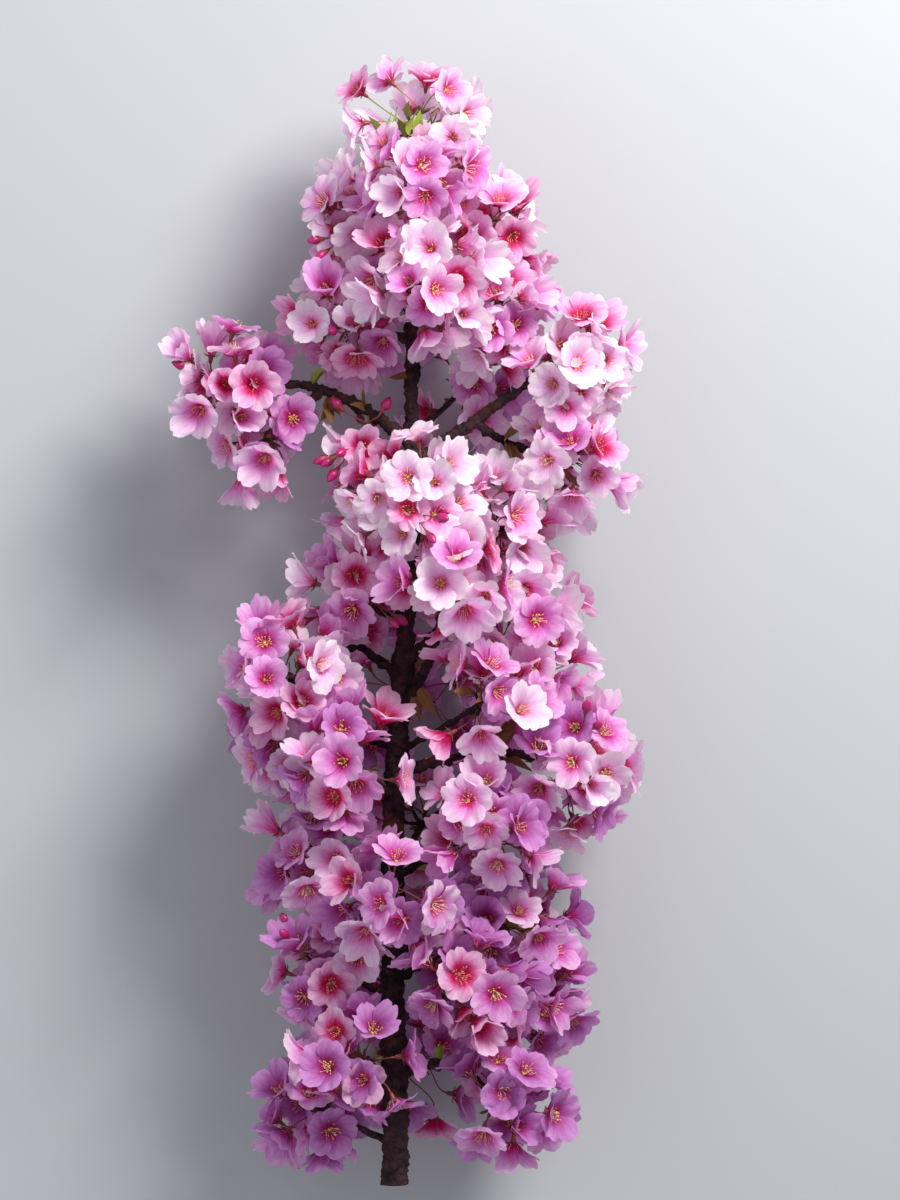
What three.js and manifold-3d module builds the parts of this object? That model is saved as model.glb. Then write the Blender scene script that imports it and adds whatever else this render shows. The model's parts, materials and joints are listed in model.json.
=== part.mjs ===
// A cut branch of early-flowering cherry, lying on its back: a leader with side limbs that carry
// balls of single pink blossom, with a few buds and young leaves.
// Millimetres, +Z up. The branch runs along +Y from its sawn end, and its lowest blossoms rest on Z = 0.
import * as THREE from "three";
import { mergeVertices } from "three/addons/utils/BufferGeometryUtils.js";
import Module from "manifold-3d";

// Driving dimensions.

const leader = {
  start: -14, // the sawn end, a little below the lowest blossoms
  length: 662,
  lift: 92, // height of the leader's middle above the surface that it lies on
  baseRadius: 9.2,
  tipRadius: 2,
  taper: 0.65, // under 1 keeps the lower wood stout
  lean: 0.0235, // sideways drift for each millimetre along
  offset: -4,
  sway: 3.2,
  swayLength: 480,
  swayPeak: 440,
  heave: 2.5,
  heaveLength: 390,
  collarSwell: 1.3, // the wood thickens where a limb leaves it
  collarReach: 8,
  rings: 40,
  sides: 10,
};

const limbShape = { rings: 7, sides: 7, rootSwell: 0.8, rootReach: 0.14 };

// A limb leaves the leader at "from", or another limb at the share "at" of its length, and its tip is given as
// [sideways, along, above the leader's middle]. bow lifts its middle along the branch.
const limbs = [
  { name: "left_arm", from: 474, tip: [-64, 513, 4], bow: 0.14, base: 4.6, end: 3 },
  { name: "right_arm", from: 458, tip: [82, 511, 4], bow: 0.01, base: 5.2, end: 3.4 },
  { name: "right_fork", on: "right_arm", at: 0.58, tip: [74, 474, -10], bow: -0.1, base: 3.6, end: 2.8 },
  { name: "mid_right_arm", from: 330, tip: [44, 362, 6], bow: 0.05, base: 4, end: 3 },
  { name: "mid_left_spur", from: 320, tip: [-26, 342, 12], bow: 0, base: 3.8, end: 2.8 },
  { name: "mid_right_spur", from: 300, tip: [28, 350, 14], bow: -0.25, base: 4.2, end: 3 },
  { name: "low_left_arm", from: 272, tip: [-40, 289, -12], bow: 0.05, base: 4, end: 3 },
  { name: "low_right_arm", from: 257, tip: [76, 271, 2], bow: 0.06, base: 4.6, end: 3.2 },
  { name: "foot_right_arm", from: 56, tip: [40, 68, 6], bow: 0.12, base: 4.2, end: 3.2 },
];

// A mass of blossom sits round its hub, [sideways, along, above the leader's middle], and keeps within radius of it.
// on says which limb bears its twig, at the share "at" of its length or at its end, and without it the leader does.
const masses = [
  { name: "tip", on: "leader", hub: [14, 681, 2], radius: 42, leaves: 3 },
  { name: "upper_left", hub: [-16, 624, 10], radius: 40 },
  { name: "upper_right", hub: [54, 610, -2], radius: 42 },
  { name: "upper_front", hub: [14, 646, 46], radius: 38, leaves: 1 },
  { name: "upper_back", hub: [12, 640, -44], radius: 43 },
  { name: "heart_left", hub: [-24, 558, 4], radius: 43, buds: 2 },
  { name: "heart_right", hub: [62, 560, 4], radius: 44 },
  { name: "heart_front", hub: [20, 578, 48], radius: 44 },
  { name: "heart_back", hub: [12, 566, -48], radius: 47 },
  { name: "left_arm_up", on: "left_arm", hub: [-104, 512, 4], radius: 40, leaves: 2 },
  { name: "left_arm_down", on: "left_arm", at: 0.8, hub: [-86, 478, 0], radius: 36, leaves: 1 },
  { name: "right_arm_up", on: "right_arm", hub: [110, 524, 8], radius: 43, leaves: 1 },
  { name: "right_arm_down", on: "right_fork", hub: [104, 466, 2], radius: 44, leaves: 2 },
  { name: "skirt_back", hub: [40, 508, -46], radius: 44, blooms: 7, buds: 1 },
  { name: "bud_spray", hub: [-19, 480, 12], radius: 25, blooms: 2, buds: 5 },
  { name: "waist_front", hub: [8, 438, 42], radius: 44, buds: 1 },
  { name: "waist_right", hub: [62, 418, 12], radius: 45 },
  { name: "waist_back", hub: [4, 442, -42], radius: 47 },
  { name: "mid_left", hub: [-25, 370, 2], radius: 38, buds: 1 },
  { name: "mid_front", on: "mid_right_spur", hub: [36, 388, 46], radius: 42 },
  { name: "mid_right", on: "mid_right_arm", hub: [74, 366, 4], radius: 43 },
  { name: "mid_back", hub: [14, 376, -48], radius: 48 },
  { name: "side_left", on: "mid_left_spur", hub: [-66, 320, 26], radius: 45 },
  { name: "side_left_low", on: "low_left_arm", hub: [-60, 276, -8], radius: 42, leaves: 1 },
  { name: "side_right", on: "low_right_arm", at: 0.7, hub: [82, 320, -12], radius: 44, leaves: 1 },
  { name: "side_right_front", hub: [56, 304, 36], radius: 41 },
  { name: "side_back", hub: [8, 308, -50], radius: 50 },
  { name: "low_left_front", hub: [-30, 266, 40], radius: 43 },
  { name: "right_arm_end", on: "low_right_arm", hub: [111, 260, 4], radius: 47, leaves: 2 },
  { name: "low_right_front", hub: [56, 222, 34], radius: 44, leaves: 2 },
  { name: "low_left", hub: [-44, 204, -2], radius: 43, leaves: 1 },
  { name: "low_back", hub: [18, 222, -50], radius: 50 },
  { name: "low_front", hub: [0, 176, 44], radius: 42 },
  { name: "low_right", hub: [74, 158, 0], radius: 45, leaves: 1 },
  { name: "foot_left_up", hub: [-38, 126, 4], radius: 43, buds: 2 },
  { name: "foot_right_front", hub: [46, 120, 38], radius: 43 },
  { name: "foot_right", on: "foot_right_arm", hub: [83, 110, -6], radius: 44 },
  { name: "foot_back_up", hub: [8, 142, -50], radius: 50, blooms: 6 },
  { name: "foot_left", hub: [-20, 70, 38], radius: 42 },
  { name: "foot_left_out", hub: [-47, 36, -4], radius: 42 },
  { name: "foot_right_low", on: "foot_right_arm", hub: [64, 44, 10], radius: 44 },
  { name: "foot_back", hub: [8, 64, -48], radius: 49 },
];

const growth = {
  blooms: 8, // full flowers on a mass, unless it says otherwise
  choices: 300, // places weighed for each flower, of which the roomiest is kept
  rootward: 0.35, // a mass grows away from the leader this share of its radius below the hub
  inward: -0.35, // a flower points no further back to there than this cosine
  crowding: 1, // flowers of one mass may come this near, as a share of their radius
  enoughRoom: 60, // more room than this between two flowers counts for nothing
  outwardPull: 10, // how much a flower on a mass's outer side is liked, in millimetres of room
  clearOfNext: 0.4, // from each mass's edge to its neighbour's edge, halved
  clearOfWood: 1,
  bareFoot: 3, // blossom starts this far along the branch
  coreRadius: 0.57, // of the ball of calyces and stalks in a mass, as a share of the mass's radius
  twigLean: 0.5, // a twig climbs this much for each millimetre that it goes out
  twigBase: 2.6,
  twigEnd: 1.9,
  twigSides: 5,
  twigSeat: 1.1, // the share of a twig's radius that its foot is hollowed for
  twigSlack: 0.1,
  woodGap: 0.3,
};

const bloom = {
  smallest: 17,
  spread: 3, // the largest is this much over the smallest
  height: 10, // from the foot of the cup to the rim of the petals
  gapRadius: 0.55, // of the notch between petals, as a share of the bloom's radius
  gapHeight: 7.2,
  heartHeight: 5.6,
  collarRadius: 2,
  collarHeight: 3.4,
  shoulderTurn: 0.36, // half of a petal's width, as an angle
  petals: 5,
  stalkRadius: 0.95,
  nod: 0.4, // how far a flower may turn from facing straight out
  depth: 0.25, // how far in from the mass's edge a flower may sit, as a share
  rootDepth: 0.28, // where its stalk starts, as a share of the mass's radius
  pressed: 16, // a flower this far under the surface is lifted to rest on it
};

const bud = { radius: 3.8, height: 13, waist: 7, points: 5, reach: 0.62 };
const leaf = { length: 34, width: 11, thickness: 1.4, reach: 0.3 };

// Small helpers.

const vector = (x, y, z) => new THREE.Vector3(x, y, z);
const alongAxis = vector(0, 1, 0);

function makeRandom(seed) {
  let state = seed;
  return () => {
    state = (state * 16807) % 2147483647;
    return state / 2147483647;
  };
}

// A unit vector spread evenly over the sphere.
function randomDirection(random) {
  const height = 2 * random() - 1;
  const turn = 2 * Math.PI * random();
  const wide = Math.sqrt(1 - height * height);
  return vector(wide * Math.cos(turn), wide * Math.sin(turn), height);
}

// Two unit vectors square to axis and to each other.
function squareTo(axis) {
  const reference = Math.abs(axis.y) < 0.9 ? alongAxis : vector(1, 0, 0);
  const first = vector().crossVectors(reference, axis).normalize();
  return [first, vector().crossVectors(axis, first)];
}

// The leader and its limbs.

function leaderPoint(along) {
  const sway = leader.sway * Math.cos((2 * Math.PI * (along - leader.swayPeak)) / leader.swayLength);
  const side = leader.offset + leader.lean * along + sway;
  const heave = leader.heave * Math.sin((2 * Math.PI * along) / leader.heaveLength);
  return vector(side, along, leader.lift + heave);
}

function leaderRadius(along) {
  const left = Math.max(0, 1 - along / leader.length) ** leader.taper;
  let radius = leader.tipRadius + (leader.baseRadius - leader.tipRadius) * left;
  for (const limb of limbs.filter((each) => each.from)) {
    const away = (along - limb.from) / leader.collarReach;
    radius += leader.collarSwell * Math.exp(-away * away);
  }
  return radius;
}

const raised = ([side, along, above]) => vector(side, along, above + leader.lift);
const limbNamed = (name) => limbs.find((limb) => limb.name === name);

// Limbs are quadratic curves from the middle of what bears them.
function limbPoint(limb, share) {
  const root = limb.on ? limbPoint(limbNamed(limb.on), limb.at) : leaderPoint(limb.from);
  const tip = raised(limb.tip);
  const middle = root.clone().lerp(tip, 0.5).addScaledVector(alongAxis, limb.bow * root.distanceTo(tip));
  const early = root.clone().lerp(middle, share);
  return early.lerp(middle.clone().lerp(tip, share), share);
}

function limbRadius(limb, share) {
  const swell = limbShape.rootSwell * Math.exp(-((share / limbShape.rootReach) ** 2));
  return limb.base + (limb.end - limb.base) * share + swell;
}

// Solids.

const wasm = await Module();
wasm.setup();

function solidFrom(points, faces) {
  const geometry = new THREE.BufferGeometry().setFromPoints(points);
  geometry.setIndex(faces.flat());
  const merged = mergeVertices(geometry, 1e-4);
  return new wasm.Manifold(
    new wasm.Mesh({
      numProp: 3,
      vertProperties: merged.attributes.position.array,
      triVerts: new Uint32Array(merged.index.array),
    }),
  );
}

function meshFrom(name, solid, material) {
  const made = solid.getMesh();
  const geometry = new THREE.BufferGeometry();
  geometry.setAttribute("position", new THREE.BufferAttribute(new Float32Array(made.vertProperties), 3));
  geometry.setIndex(new THREE.BufferAttribute(new Uint32Array(made.triVerts), 1));
  geometry.computeVertexNormals();
  const mesh = new THREE.Mesh(geometry, material);
  mesh.name = name;
  return mesh;
}

// A closed tube through rings of equal count, each a list of points that runs round the same way.
function tubeThrough(rings) {
  const sides = rings[0].length;
  const faces = [];
  for (let row = 0; row + 1 < rings.length; row++) {
    for (let side = 0; side < sides; side++) {
      const here = row * sides + side;
      const next = row * sides + ((side + 1) % sides);
      faces.push([here, next, here + sides], [next, next + sides, here + sides]);
    }
  }
  const last = (rings.length - 1) * sides;
  for (let side = 1; side + 1 < sides; side++) {
    faces.push([0, side + 1, side], [last, last + side, last + side + 1]);
  }
  return solidFrom(rings.flat(), faces);
}

function ringAround(centre, axis, radius, sides) {
  const [first, second] = squareTo(axis);
  return Array.from({ length: sides }, (_, side) => {
    const turn = (2 * Math.PI * side) / sides;
    return centre
      .clone()
      .addScaledVector(first, radius * Math.cos(turn))
      .addScaledVector(second, radius * Math.sin(turn));
  });
}

// The leader's sections all stand square to +Y, so its sawn end is flat there.
function leaderSolid(grow = 0) {
  const rings = [];
  for (let row = 0; row <= leader.rings; row++) {
    const along = leader.start + ((leader.length - leader.start) * row) / leader.rings;
    const end = row === 0 ? -grow : row === leader.rings ? grow : 0;
    const centre = leaderPoint(along).addScaledVector(alongAxis, end);
    rings.push(ringAround(centre, alongAxis, leaderRadius(along) + grow, leader.sides));
  }
  return tubeThrough(rings);
}

function limbSolid(limb, grow = 0) {
  const rings = [];
  for (let row = 0; row <= limbShape.rings; row++) {
    const share = row / limbShape.rings;
    const axis = limbPoint(limb, share + 0.01).sub(limbPoint(limb, share - 0.01)).normalize();
    const centre = limbPoint(limb, share).addScaledVector(axis, row === limbShape.rings ? grow : 0);
    rings.push(ringAround(centre, axis, limbRadius(limb, share) + grow, limbShape.sides));
  }
  return tubeThrough(rings);
}

const bearerSolid = (name, grow) => (name ? limbSolid(limbNamed(name), grow) : leaderSolid(grow));

// Balls of points that stand for all wood, which flowers keep clear of.
function woodPoints() {
  const found = [];
  for (let along = leader.start; along <= leader.length; along += 4) {
    found.push({ point: leaderPoint(along), radius: leaderRadius(along), twig: null });
  }
  for (const limb of limbs) {
    for (let share = 0; share <= 1; share += 0.04) {
      found.push({ point: limbPoint(limb, share), radius: limbRadius(limb, share), twig: null });
    }
  }
  for (const mass of masses) {
    for (let share = 0; share <= 1; share += 0.05) {
      const point = twigRoot(mass).lerp(raised(mass.hub), share);
      found.push({ point, radius: growth.twigBase, twig: mass.name });
    }
  }
  return found;
}

// A mass's twig starts from the middle of its limb, or of the leader a little below the mass.
function twigRoot(mass) {
  if (mass.on === "leader") return leaderPoint(leader.length);
  if (mass.on) return limbPoint(limbNamed(mass.on), mass.at ?? 1);
  const hub = raised(mass.hub);
  const out = hub.distanceTo(leaderPoint(hub.y));
  return leaderPoint(hub.y - growth.twigLean * out);
}

// How far a flower reaches along a direction: its rim is a circle, and its foot a small ball.
function reachOf(flower, direction) {
  const facing = direction.dot(flower.axis);
  const rim = direction.dot(flower.rim) + flower.radius * Math.sqrt(Math.max(0, 1 - facing * facing));
  return Math.max(rim, direction.dot(flower.foot) + bloom.collarRadius);
}

// True if some plane between two flowers parts them, each taken at a share of its radius.
function apart(one, other, share) {
  const small = { ...one, radius: one.radius * share };
  const next = { ...other, radius: other.radius * share };
  const between = next.rim.clone().sub(small.rim).normalize();
  return [between, small.axis, next.axis].some((axis) => {
    const back = axis.clone().negate();
    return (
      reachOf(small, axis) < -reachOf(next, back) || reachOf(next, axis) < -reachOf(small, back)
    );
  });
}

// The planes that part a mass from its neighbours. Each is a direction and how far the mass may reach along it.
function wallsOf(mass, hub) {
  const walls = [
    { direction: vector(0, 0, -1), limit: 0 },
    { direction: vector(0, -1, 0), limit: -growth.bareFoot },
  ];
  for (const other of masses) {
    const away = raised(other.hub).sub(hub);
    const distance = away.length();
    if (other === mass || distance > mass.radius + other.radius + bloom.smallest) continue;
    const middle = distance / 2 + (mass.radius ** 2 - other.radius ** 2) / (2 * distance);
    const direction = away.normalize();
    walls.push({ direction, limit: direction.dot(hub) + middle - growth.clearOfNext });
  }
  return walls;
}

// What a mass needs in order to grow: its walls, the wood nearby and the size of its core, which keeps clear of both.
function plotOf(mass, wood) {
  const hub = raised(mass.hub);
  const walls = wallsOf(mass, hub);
  const reach = mass.radius + 2 * bloom.smallest;
  const near = wood.filter((piece) => piece.twig !== mass.name && piece.point.distanceTo(hub) < reach);
  const core = Math.min(
    growth.coreRadius * mass.radius,
    ...walls.map(({ direction, limit }) => limit - direction.dot(hub)),
    ...near.map((piece) => piece.point.distanceTo(hub) - piece.radius - growth.clearOfWood),
  );
  const outward = hub.clone().sub(leaderPoint(hub.y - growth.rootward * mass.radius)).normalize();
  return { mass, hub, walls, near, core, outward };
}

const clearOfPoint = (flower, piece) => {
  const away = piece.point.clone().sub(flower.rim);
  const deep = away.dot(flower.axis);
  const wide = Math.sqrt(Math.max(0, away.lengthSq() - deep * deep));
  const off = Math.max(deep, -deep - bloom.height, 0);
  return Math.hypot(Math.max(0, wide - flower.radius), off) > piece.radius + growth.clearOfWood;
};

function stalkClear(flower, piece) {
  for (let share = 0; share <= 1; share += 0.2) {
    const at = flower.root.clone().lerp(flower.foot, share);
    if (at.distanceTo(piece.point) < piece.radius + growth.clearOfWood + bloom.stalkRadius) return false;
  }
  return true;
}

function fits(flower, plot) {
  const stands = plot.walls.every(
    ({ direction, limit }) =>
      reachOf(flower, direction) <= limit && direction.dot(flower.root) <= limit - bloom.stalkRadius,
  );
  return stands && plot.near.every((piece) => clearOfPoint(flower, piece) && stalkClear(flower, piece));
}

// One place for a flower, drawn at random round the hub and facing out.
function drawFlower(plot, random) {
  const out = randomDirection(random);
  const turned = randomDirection(random);
  const radius = bloom.smallest + bloom.spread * random();
  const deep = random();
  const spin = 2 * Math.PI * random();
  const root = plot.hub.clone().addScaledVector(out, plot.core * bloom.rootDepth);
  const axis = out.clone().addScaledVector(turned, bloom.nod).normalize();
  const far = plot.mass.radius * (1 - bloom.depth * deep * deep);
  const rim = plot.hub.clone().addScaledVector(out, far);
  const flower = { out, axis, radius, spin, root, rim, foot: null };
  flower.foot = rim.clone().addScaledVector(axis, -bloom.height);
  const under = reachOf(flower, vector(0, 0, -1));
  if (under > 0 && under < bloom.pressed) {
    flower.rim.z += under;
    flower.foot.z += under;
  }
  return flower;
}

// Flowers one by one, each the roomiest of many random places, so that fewer or more of them both lie evenly.
function growFlowers(plot, seed, count, others) {
  const random = makeRandom(seed);
  const flowers = [];
  for (let turn = 0; turn < count; turn++) {
    let best = null;
    let most = -Infinity;
    for (let choice = 0; choice < growth.choices; choice++) {
      const flower = drawFlower(plot, random);
      const facing = flower.out.dot(plot.outward);
      if (facing < growth.inward || !fits(flower, plot)) continue;
      if (!flowers.every((other) => apart(flower, other, growth.crowding))) continue;
      const gaps = [...others, ...flowers].map((other) => flower.rim.distanceTo(other.rim));
      const room = Math.min(growth.enoughRoom, ...gaps) + growth.outwardPull * facing;
      if (room > most) {
        most = room;
        best = flower;
      }
    }
    if (best) flowers.push(best);
  }
  return flowers;
}

// A head of petals on its stalk: a rim of points, a heart above and a three-sided collar below that runs into the stalk.
function headSolid(flower, rim, heart, collar) {
  const [first, second] = squareTo(flower.axis);
  const place = (radius, turn, height) =>
    flower.foot
      .clone()
      .addScaledVector(first, radius * Math.cos(turn))
      .addScaledVector(second, radius * Math.sin(turn))
      .addScaledVector(flower.axis, height);
  const stalk = flower.foot.clone().sub(flower.root).normalize();
  const across = first.clone().addScaledVector(stalk, -first.dot(stalk)).normalize();
  const upward = vector().crossVectors(stalk, across);
  const thirds = [0, 1, 2].map((third) => flower.spin + ((2 * third + 1) * Math.PI) / 3);
  const points = [
    ...rim.map(({ radius, turn, height }) => place(radius, flower.spin + turn, height)),
    place(0, 0, heart),
    ...thirds.map((turn) => place(collar.radius, turn, collar.height)),
    ...thirds.map((turn) =>
      flower.root
        .clone()
        .addScaledVector(across, bloom.stalkRadius * Math.cos(turn))
        .addScaledVector(upward, bloom.stalkRadius * Math.sin(turn)),
    ),
  ];
  const count = rim.length;
  const [top, ring, foot] = [count, count + 1, count + 4];
  const third = (index) => Math.floor((3 * index) / count) % 3;
  const faces = [[foot, foot + 2, foot + 1]];
  for (let index = 0; index < count; index++) {
    const next = (index + 1) % count;
    faces.push([top, index, next], [next, index, ring + third(index)]);
    if (third(next) !== third(index)) faces.push([next, ring + third(index), ring + third(next)]);
  }
  for (let side = 0; side < 3; side++) {
    const next = (side + 1) % 3;
    faces.push([ring + side, foot + side, ring + next], [ring + next, foot + side, foot + next]);
  }
  return solidFrom(points, faces);
}

function bloomSolid(flower) {
  const rim = [];
  for (let petal = 0; petal < bloom.petals; petal++) {
    const turn = (2 * Math.PI * petal) / bloom.petals;
    const gap = turn - Math.PI / bloom.petals;
    rim.push({ radius: bloom.gapRadius * flower.radius, turn: gap, height: bloom.gapHeight });
    for (const shoulder of [-bloom.shoulderTurn, bloom.shoulderTurn]) {
      rim.push({ radius: flower.radius, turn: turn + shoulder, height: bloom.height });
    }
  }
  return headSolid(flower, rim, bloom.heartHeight, { radius: bloom.collarRadius, height: bloom.collarHeight });
}

function budSolid(flower) {
  const rim = Array.from({ length: bud.points }, (_, point) => ({
    radius: bud.radius,
    turn: (2 * Math.PI * point) / bud.points,
    height: bud.waist,
  }));
  return headSolid(flower, rim, bud.height, { radius: bloom.stalkRadius * 1.4, height: 0 });
}

// A leaf is a thin lens with a raised midrib, its foot inside the twig.
function leafSolid(leafPlace) {
  const [across, up] = squareTo(leafPlace.out);
  const point = (along, side, height) =>
    leafPlace.root
      .clone()
      .addScaledVector(leafPlace.out, along)
      .addScaledVector(across, side)
      .addScaledVector(up, height);
  const [wide, thick] = [leaf.width / 2, leaf.thickness / 2];
  const middle = leafPlace.length * 0.5;
  const points = [
    point(0, 0, 0),
    point(leafPlace.length, 0, 0),
    point(middle, wide, wide * 0.3),
    point(middle, -wide, wide * 0.3),
    point(middle, 0, thick),
    point(middle, 0, -thick),
  ];
  const faces = [];
  for (const [left, right] of [[2, 4], [4, 3], [3, 5], [5, 2]]) {
    faces.push([0, right, left], [1, left, right]);
  }
  return solidFrom(points, faces);
}

// How far a point goes along a direction before it leaves the wood round root, whose radius changes along its axis.
function wayOut(start, direction, root, axis, radiusAt) {
  const off = start.clone().sub(root);
  const side = off.clone().addScaledVector(axis, -off.dot(axis));
  const across = direction.clone().addScaledVector(axis, -direction.dot(axis));
  const [a, b] = [across.lengthSq(), side.dot(across)];
  let way = 0;
  for (let pass = 0; pass < 4; pass++) {
    const radius = radiusAt(off.dot(axis) + way * direction.dot(axis));
    way = (-b + Math.sqrt(b * b - a * (side.lengthSq() - radius ** 2))) / a;
  }
  return way;
}

// A twig from a limb's tip starts square, just past the tip's edge. Elsewhere its foot follows the round of the wood
// that bears it, a little clear.
function twigSolid(mass, hub) {
  const limb = limbNamed(mass.on);
  const pointAt = limb ? (share) => limbPoint(limb, share) : leaderPoint;
  const whole = limb ? limbPoint(limb, 0).distanceTo(limbPoint(limb, 1)) : 1;
  const root = twigRoot(mass);
  const at = limb ? (mass.at ?? 1) : root.y;
  const along = pointAt(at).sub(pointAt(at - 1 / whole)).normalize();
  const radiusAt = (distance) => (limb ? limbRadius(limb, at + distance / whole) : leaderRadius(at + distance));
  const seatAt = (distance) => Math.hypot(radiusAt(distance) + growth.woodGap, growth.twigSeat * growth.twigBase);
  const axis = hub.clone().sub(root).normalize();
  const pastEdge = radiusAt(0) * Math.sqrt(1 - axis.dot(along) ** 2) + growth.woodGap + growth.twigSlack;
  const fromTip = at === (limb ? 1 : leader.length);
  const foot = ringAround(root, axis, growth.twigBase, growth.twigSides);
  foot.forEach((point) => point.addScaledVector(axis, fromTip ? pastEdge : wayOut(point, axis, root, along, seatAt)));
  return tubeThrough([foot, ringAround(hub, axis, growth.twigEnd, growth.twigSides)]);
}

function coreSolid(plot) {
  const merged = mergeVertices(new THREE.IcosahedronGeometry(plot.core, 0).deleteAttribute("normal").deleteAttribute("uv"));
  const places = merged.attributes.position;
  const points = Array.from({ length: places.count }, (_, index) =>
    vector().fromBufferAttribute(places, index).add(plot.hub),
  );
  const corners = merged.index.array;
  return solidFrom(points, [[...corners]]);
}

// Buds and leaves stand in the gaps that the flowers leave.
function growSmall(plot, seed, count, length, flowers) {
  const random = makeRandom(seed);
  const found = [];
  for (let tries = 0; tries < 40 * count && found.length < count; tries++) {
    const piece = drawFlower(plot, random);
    piece.radius = bud.radius;
    piece.length = length;
    piece.axis = piece.out;
    piece.foot = plot.hub.clone().addScaledVector(piece.out, length - bud.height);
    piece.rim = plot.hub.clone().addScaledVector(piece.out, length);
    if (piece.out.dot(plot.outward) < growth.inward || !fits(piece, plot)) continue;
    if ([...flowers, ...found].every((other) => apart(piece, other, 1))) found.push(piece);
  }
  return found;
}

function massSolid(plot, index, others) {
  const { mass } = plot;
  const seed = 1 + 97 * (index + 1);
  const flowers = growFlowers(plot, seed, mass.blooms ?? growth.blooms, others);
  others.push(...flowers);
  const buds = growSmall(plot, seed + 31, mass.buds ?? 0, mass.radius * bud.reach + bud.height, flowers);
  const leaves = growSmall(plot, seed + 53, mass.leaves ?? 0, leaf.length + plot.core / 2, flowers);
  const pieces = [coreSolid(plot), ...flowers.map(bloomSolid), ...buds.map(budSolid), ...leaves.map(leafSolid)];
  return pieces.reduce((made, piece) => made.add(piece), twigSolid(mass, plot.hub));
}

// Materials and the finished group.

const bark = new THREE.MeshStandardMaterial({ color: 0x3b2a24, roughness: 0.9, metalness: 0 });
const petal = new THREE.MeshStandardMaterial({ color: 0xf2b3d0, roughness: 0.6, metalness: 0 });

const branch = new THREE.Group();
branch.add(meshFrom("leader", leaderSolid(), bark));
for (const limb of limbs) {
  const solid = limbSolid(limb).subtract(bearerSolid(limb.on, growth.woodGap));
  branch.add(meshFrom(limb.name, solid, bark));
}
const wood = woodPoints();
const grown = [];
masses.forEach((mass, index) => {
  const solid = massSolid(plotOf(mass, wood), index, grown);
  branch.add(meshFrom(`blossom_${mass.name}`, solid, petal));
});

// The origin goes to the middle of the branch's outer box, at its lowest point.
const box = new THREE.Box3().setFromObject(branch, true);
const centre = box.getCenter(vector());
branch.position.set(-centre.x, -centre.y, -box.min.z);

export default branch;
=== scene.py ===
import json
import math

import bpy
import numpy as np
from mathutils import Matrix, Vector, noise

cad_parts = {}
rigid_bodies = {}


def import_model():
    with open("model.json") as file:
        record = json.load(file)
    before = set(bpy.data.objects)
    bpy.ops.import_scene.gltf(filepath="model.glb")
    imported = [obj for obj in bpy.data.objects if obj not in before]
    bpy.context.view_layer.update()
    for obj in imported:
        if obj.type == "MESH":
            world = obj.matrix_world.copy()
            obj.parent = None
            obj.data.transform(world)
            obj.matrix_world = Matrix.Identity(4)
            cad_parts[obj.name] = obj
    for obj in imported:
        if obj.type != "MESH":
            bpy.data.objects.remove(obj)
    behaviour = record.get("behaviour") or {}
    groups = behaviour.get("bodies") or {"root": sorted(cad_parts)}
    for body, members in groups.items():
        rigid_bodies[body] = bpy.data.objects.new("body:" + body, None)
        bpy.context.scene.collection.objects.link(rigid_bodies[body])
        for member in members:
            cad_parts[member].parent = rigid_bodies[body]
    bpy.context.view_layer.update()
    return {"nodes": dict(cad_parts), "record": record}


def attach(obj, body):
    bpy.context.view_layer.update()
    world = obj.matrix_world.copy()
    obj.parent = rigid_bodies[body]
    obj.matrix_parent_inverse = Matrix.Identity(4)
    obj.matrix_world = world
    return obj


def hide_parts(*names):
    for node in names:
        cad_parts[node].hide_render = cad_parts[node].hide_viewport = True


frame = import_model()
print("frame loaded:", len(frame["nodes"]), "nodes")

# A cut branch of flowering cherry that lies on its back. The rule below is worked in millimetres in the
# branch's own frame, where +Y runs along it from the sawn end. place() carries it to the shared frame, in metres.

leader = {
    "start": -14, "length": 662, "lift": 92, "baseRadius": 9.2, "tipRadius": 2, "taper": 0.65, "lean": 0.0235,
    "offset": -4, "sway": 3.2, "swayLength": 480, "swayPeak": 440, "heave": 2.5, "heaveLength": 390,
    "collarSwell": 1.3, "collarReach": 8,
}
limbShape = {"rootSwell": 0.8, "rootReach": 0.14}
limbs = {
    "left_arm": {"from": 474, "tip": (-64, 513, 4), "bow": 0.14, "base": 4.6, "end": 3},
    "right_arm": {"from": 458, "tip": (82, 511, 4), "bow": 0.01, "base": 5.2, "end": 3.4},
    "right_fork": {"on": "right_arm", "at": 0.58, "tip": (74, 474, -10), "bow": -0.1, "base": 3.6, "end": 2.8},
    "mid_right_arm": {"from": 330, "tip": (44, 362, 6), "bow": 0.05, "base": 4, "end": 3},
    "mid_left_spur": {"from": 320, "tip": (-26, 342, 12), "bow": 0, "base": 3.8, "end": 2.8},
    "mid_right_spur": {"from": 300, "tip": (28, 350, 14), "bow": -0.25, "base": 4.2, "end": 3},
    "low_left_arm": {"from": 272, "tip": (-40, 289, -12), "bow": 0.05, "base": 4, "end": 3},
    "low_right_arm": {"from": 257, "tip": (76, 271, 2), "bow": 0.06, "base": 4.6, "end": 3.2},
    "foot_right_arm": {"from": 56, "tip": (40, 68, 6), "bow": 0.12, "base": 4.2, "end": 3.2},
}

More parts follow.
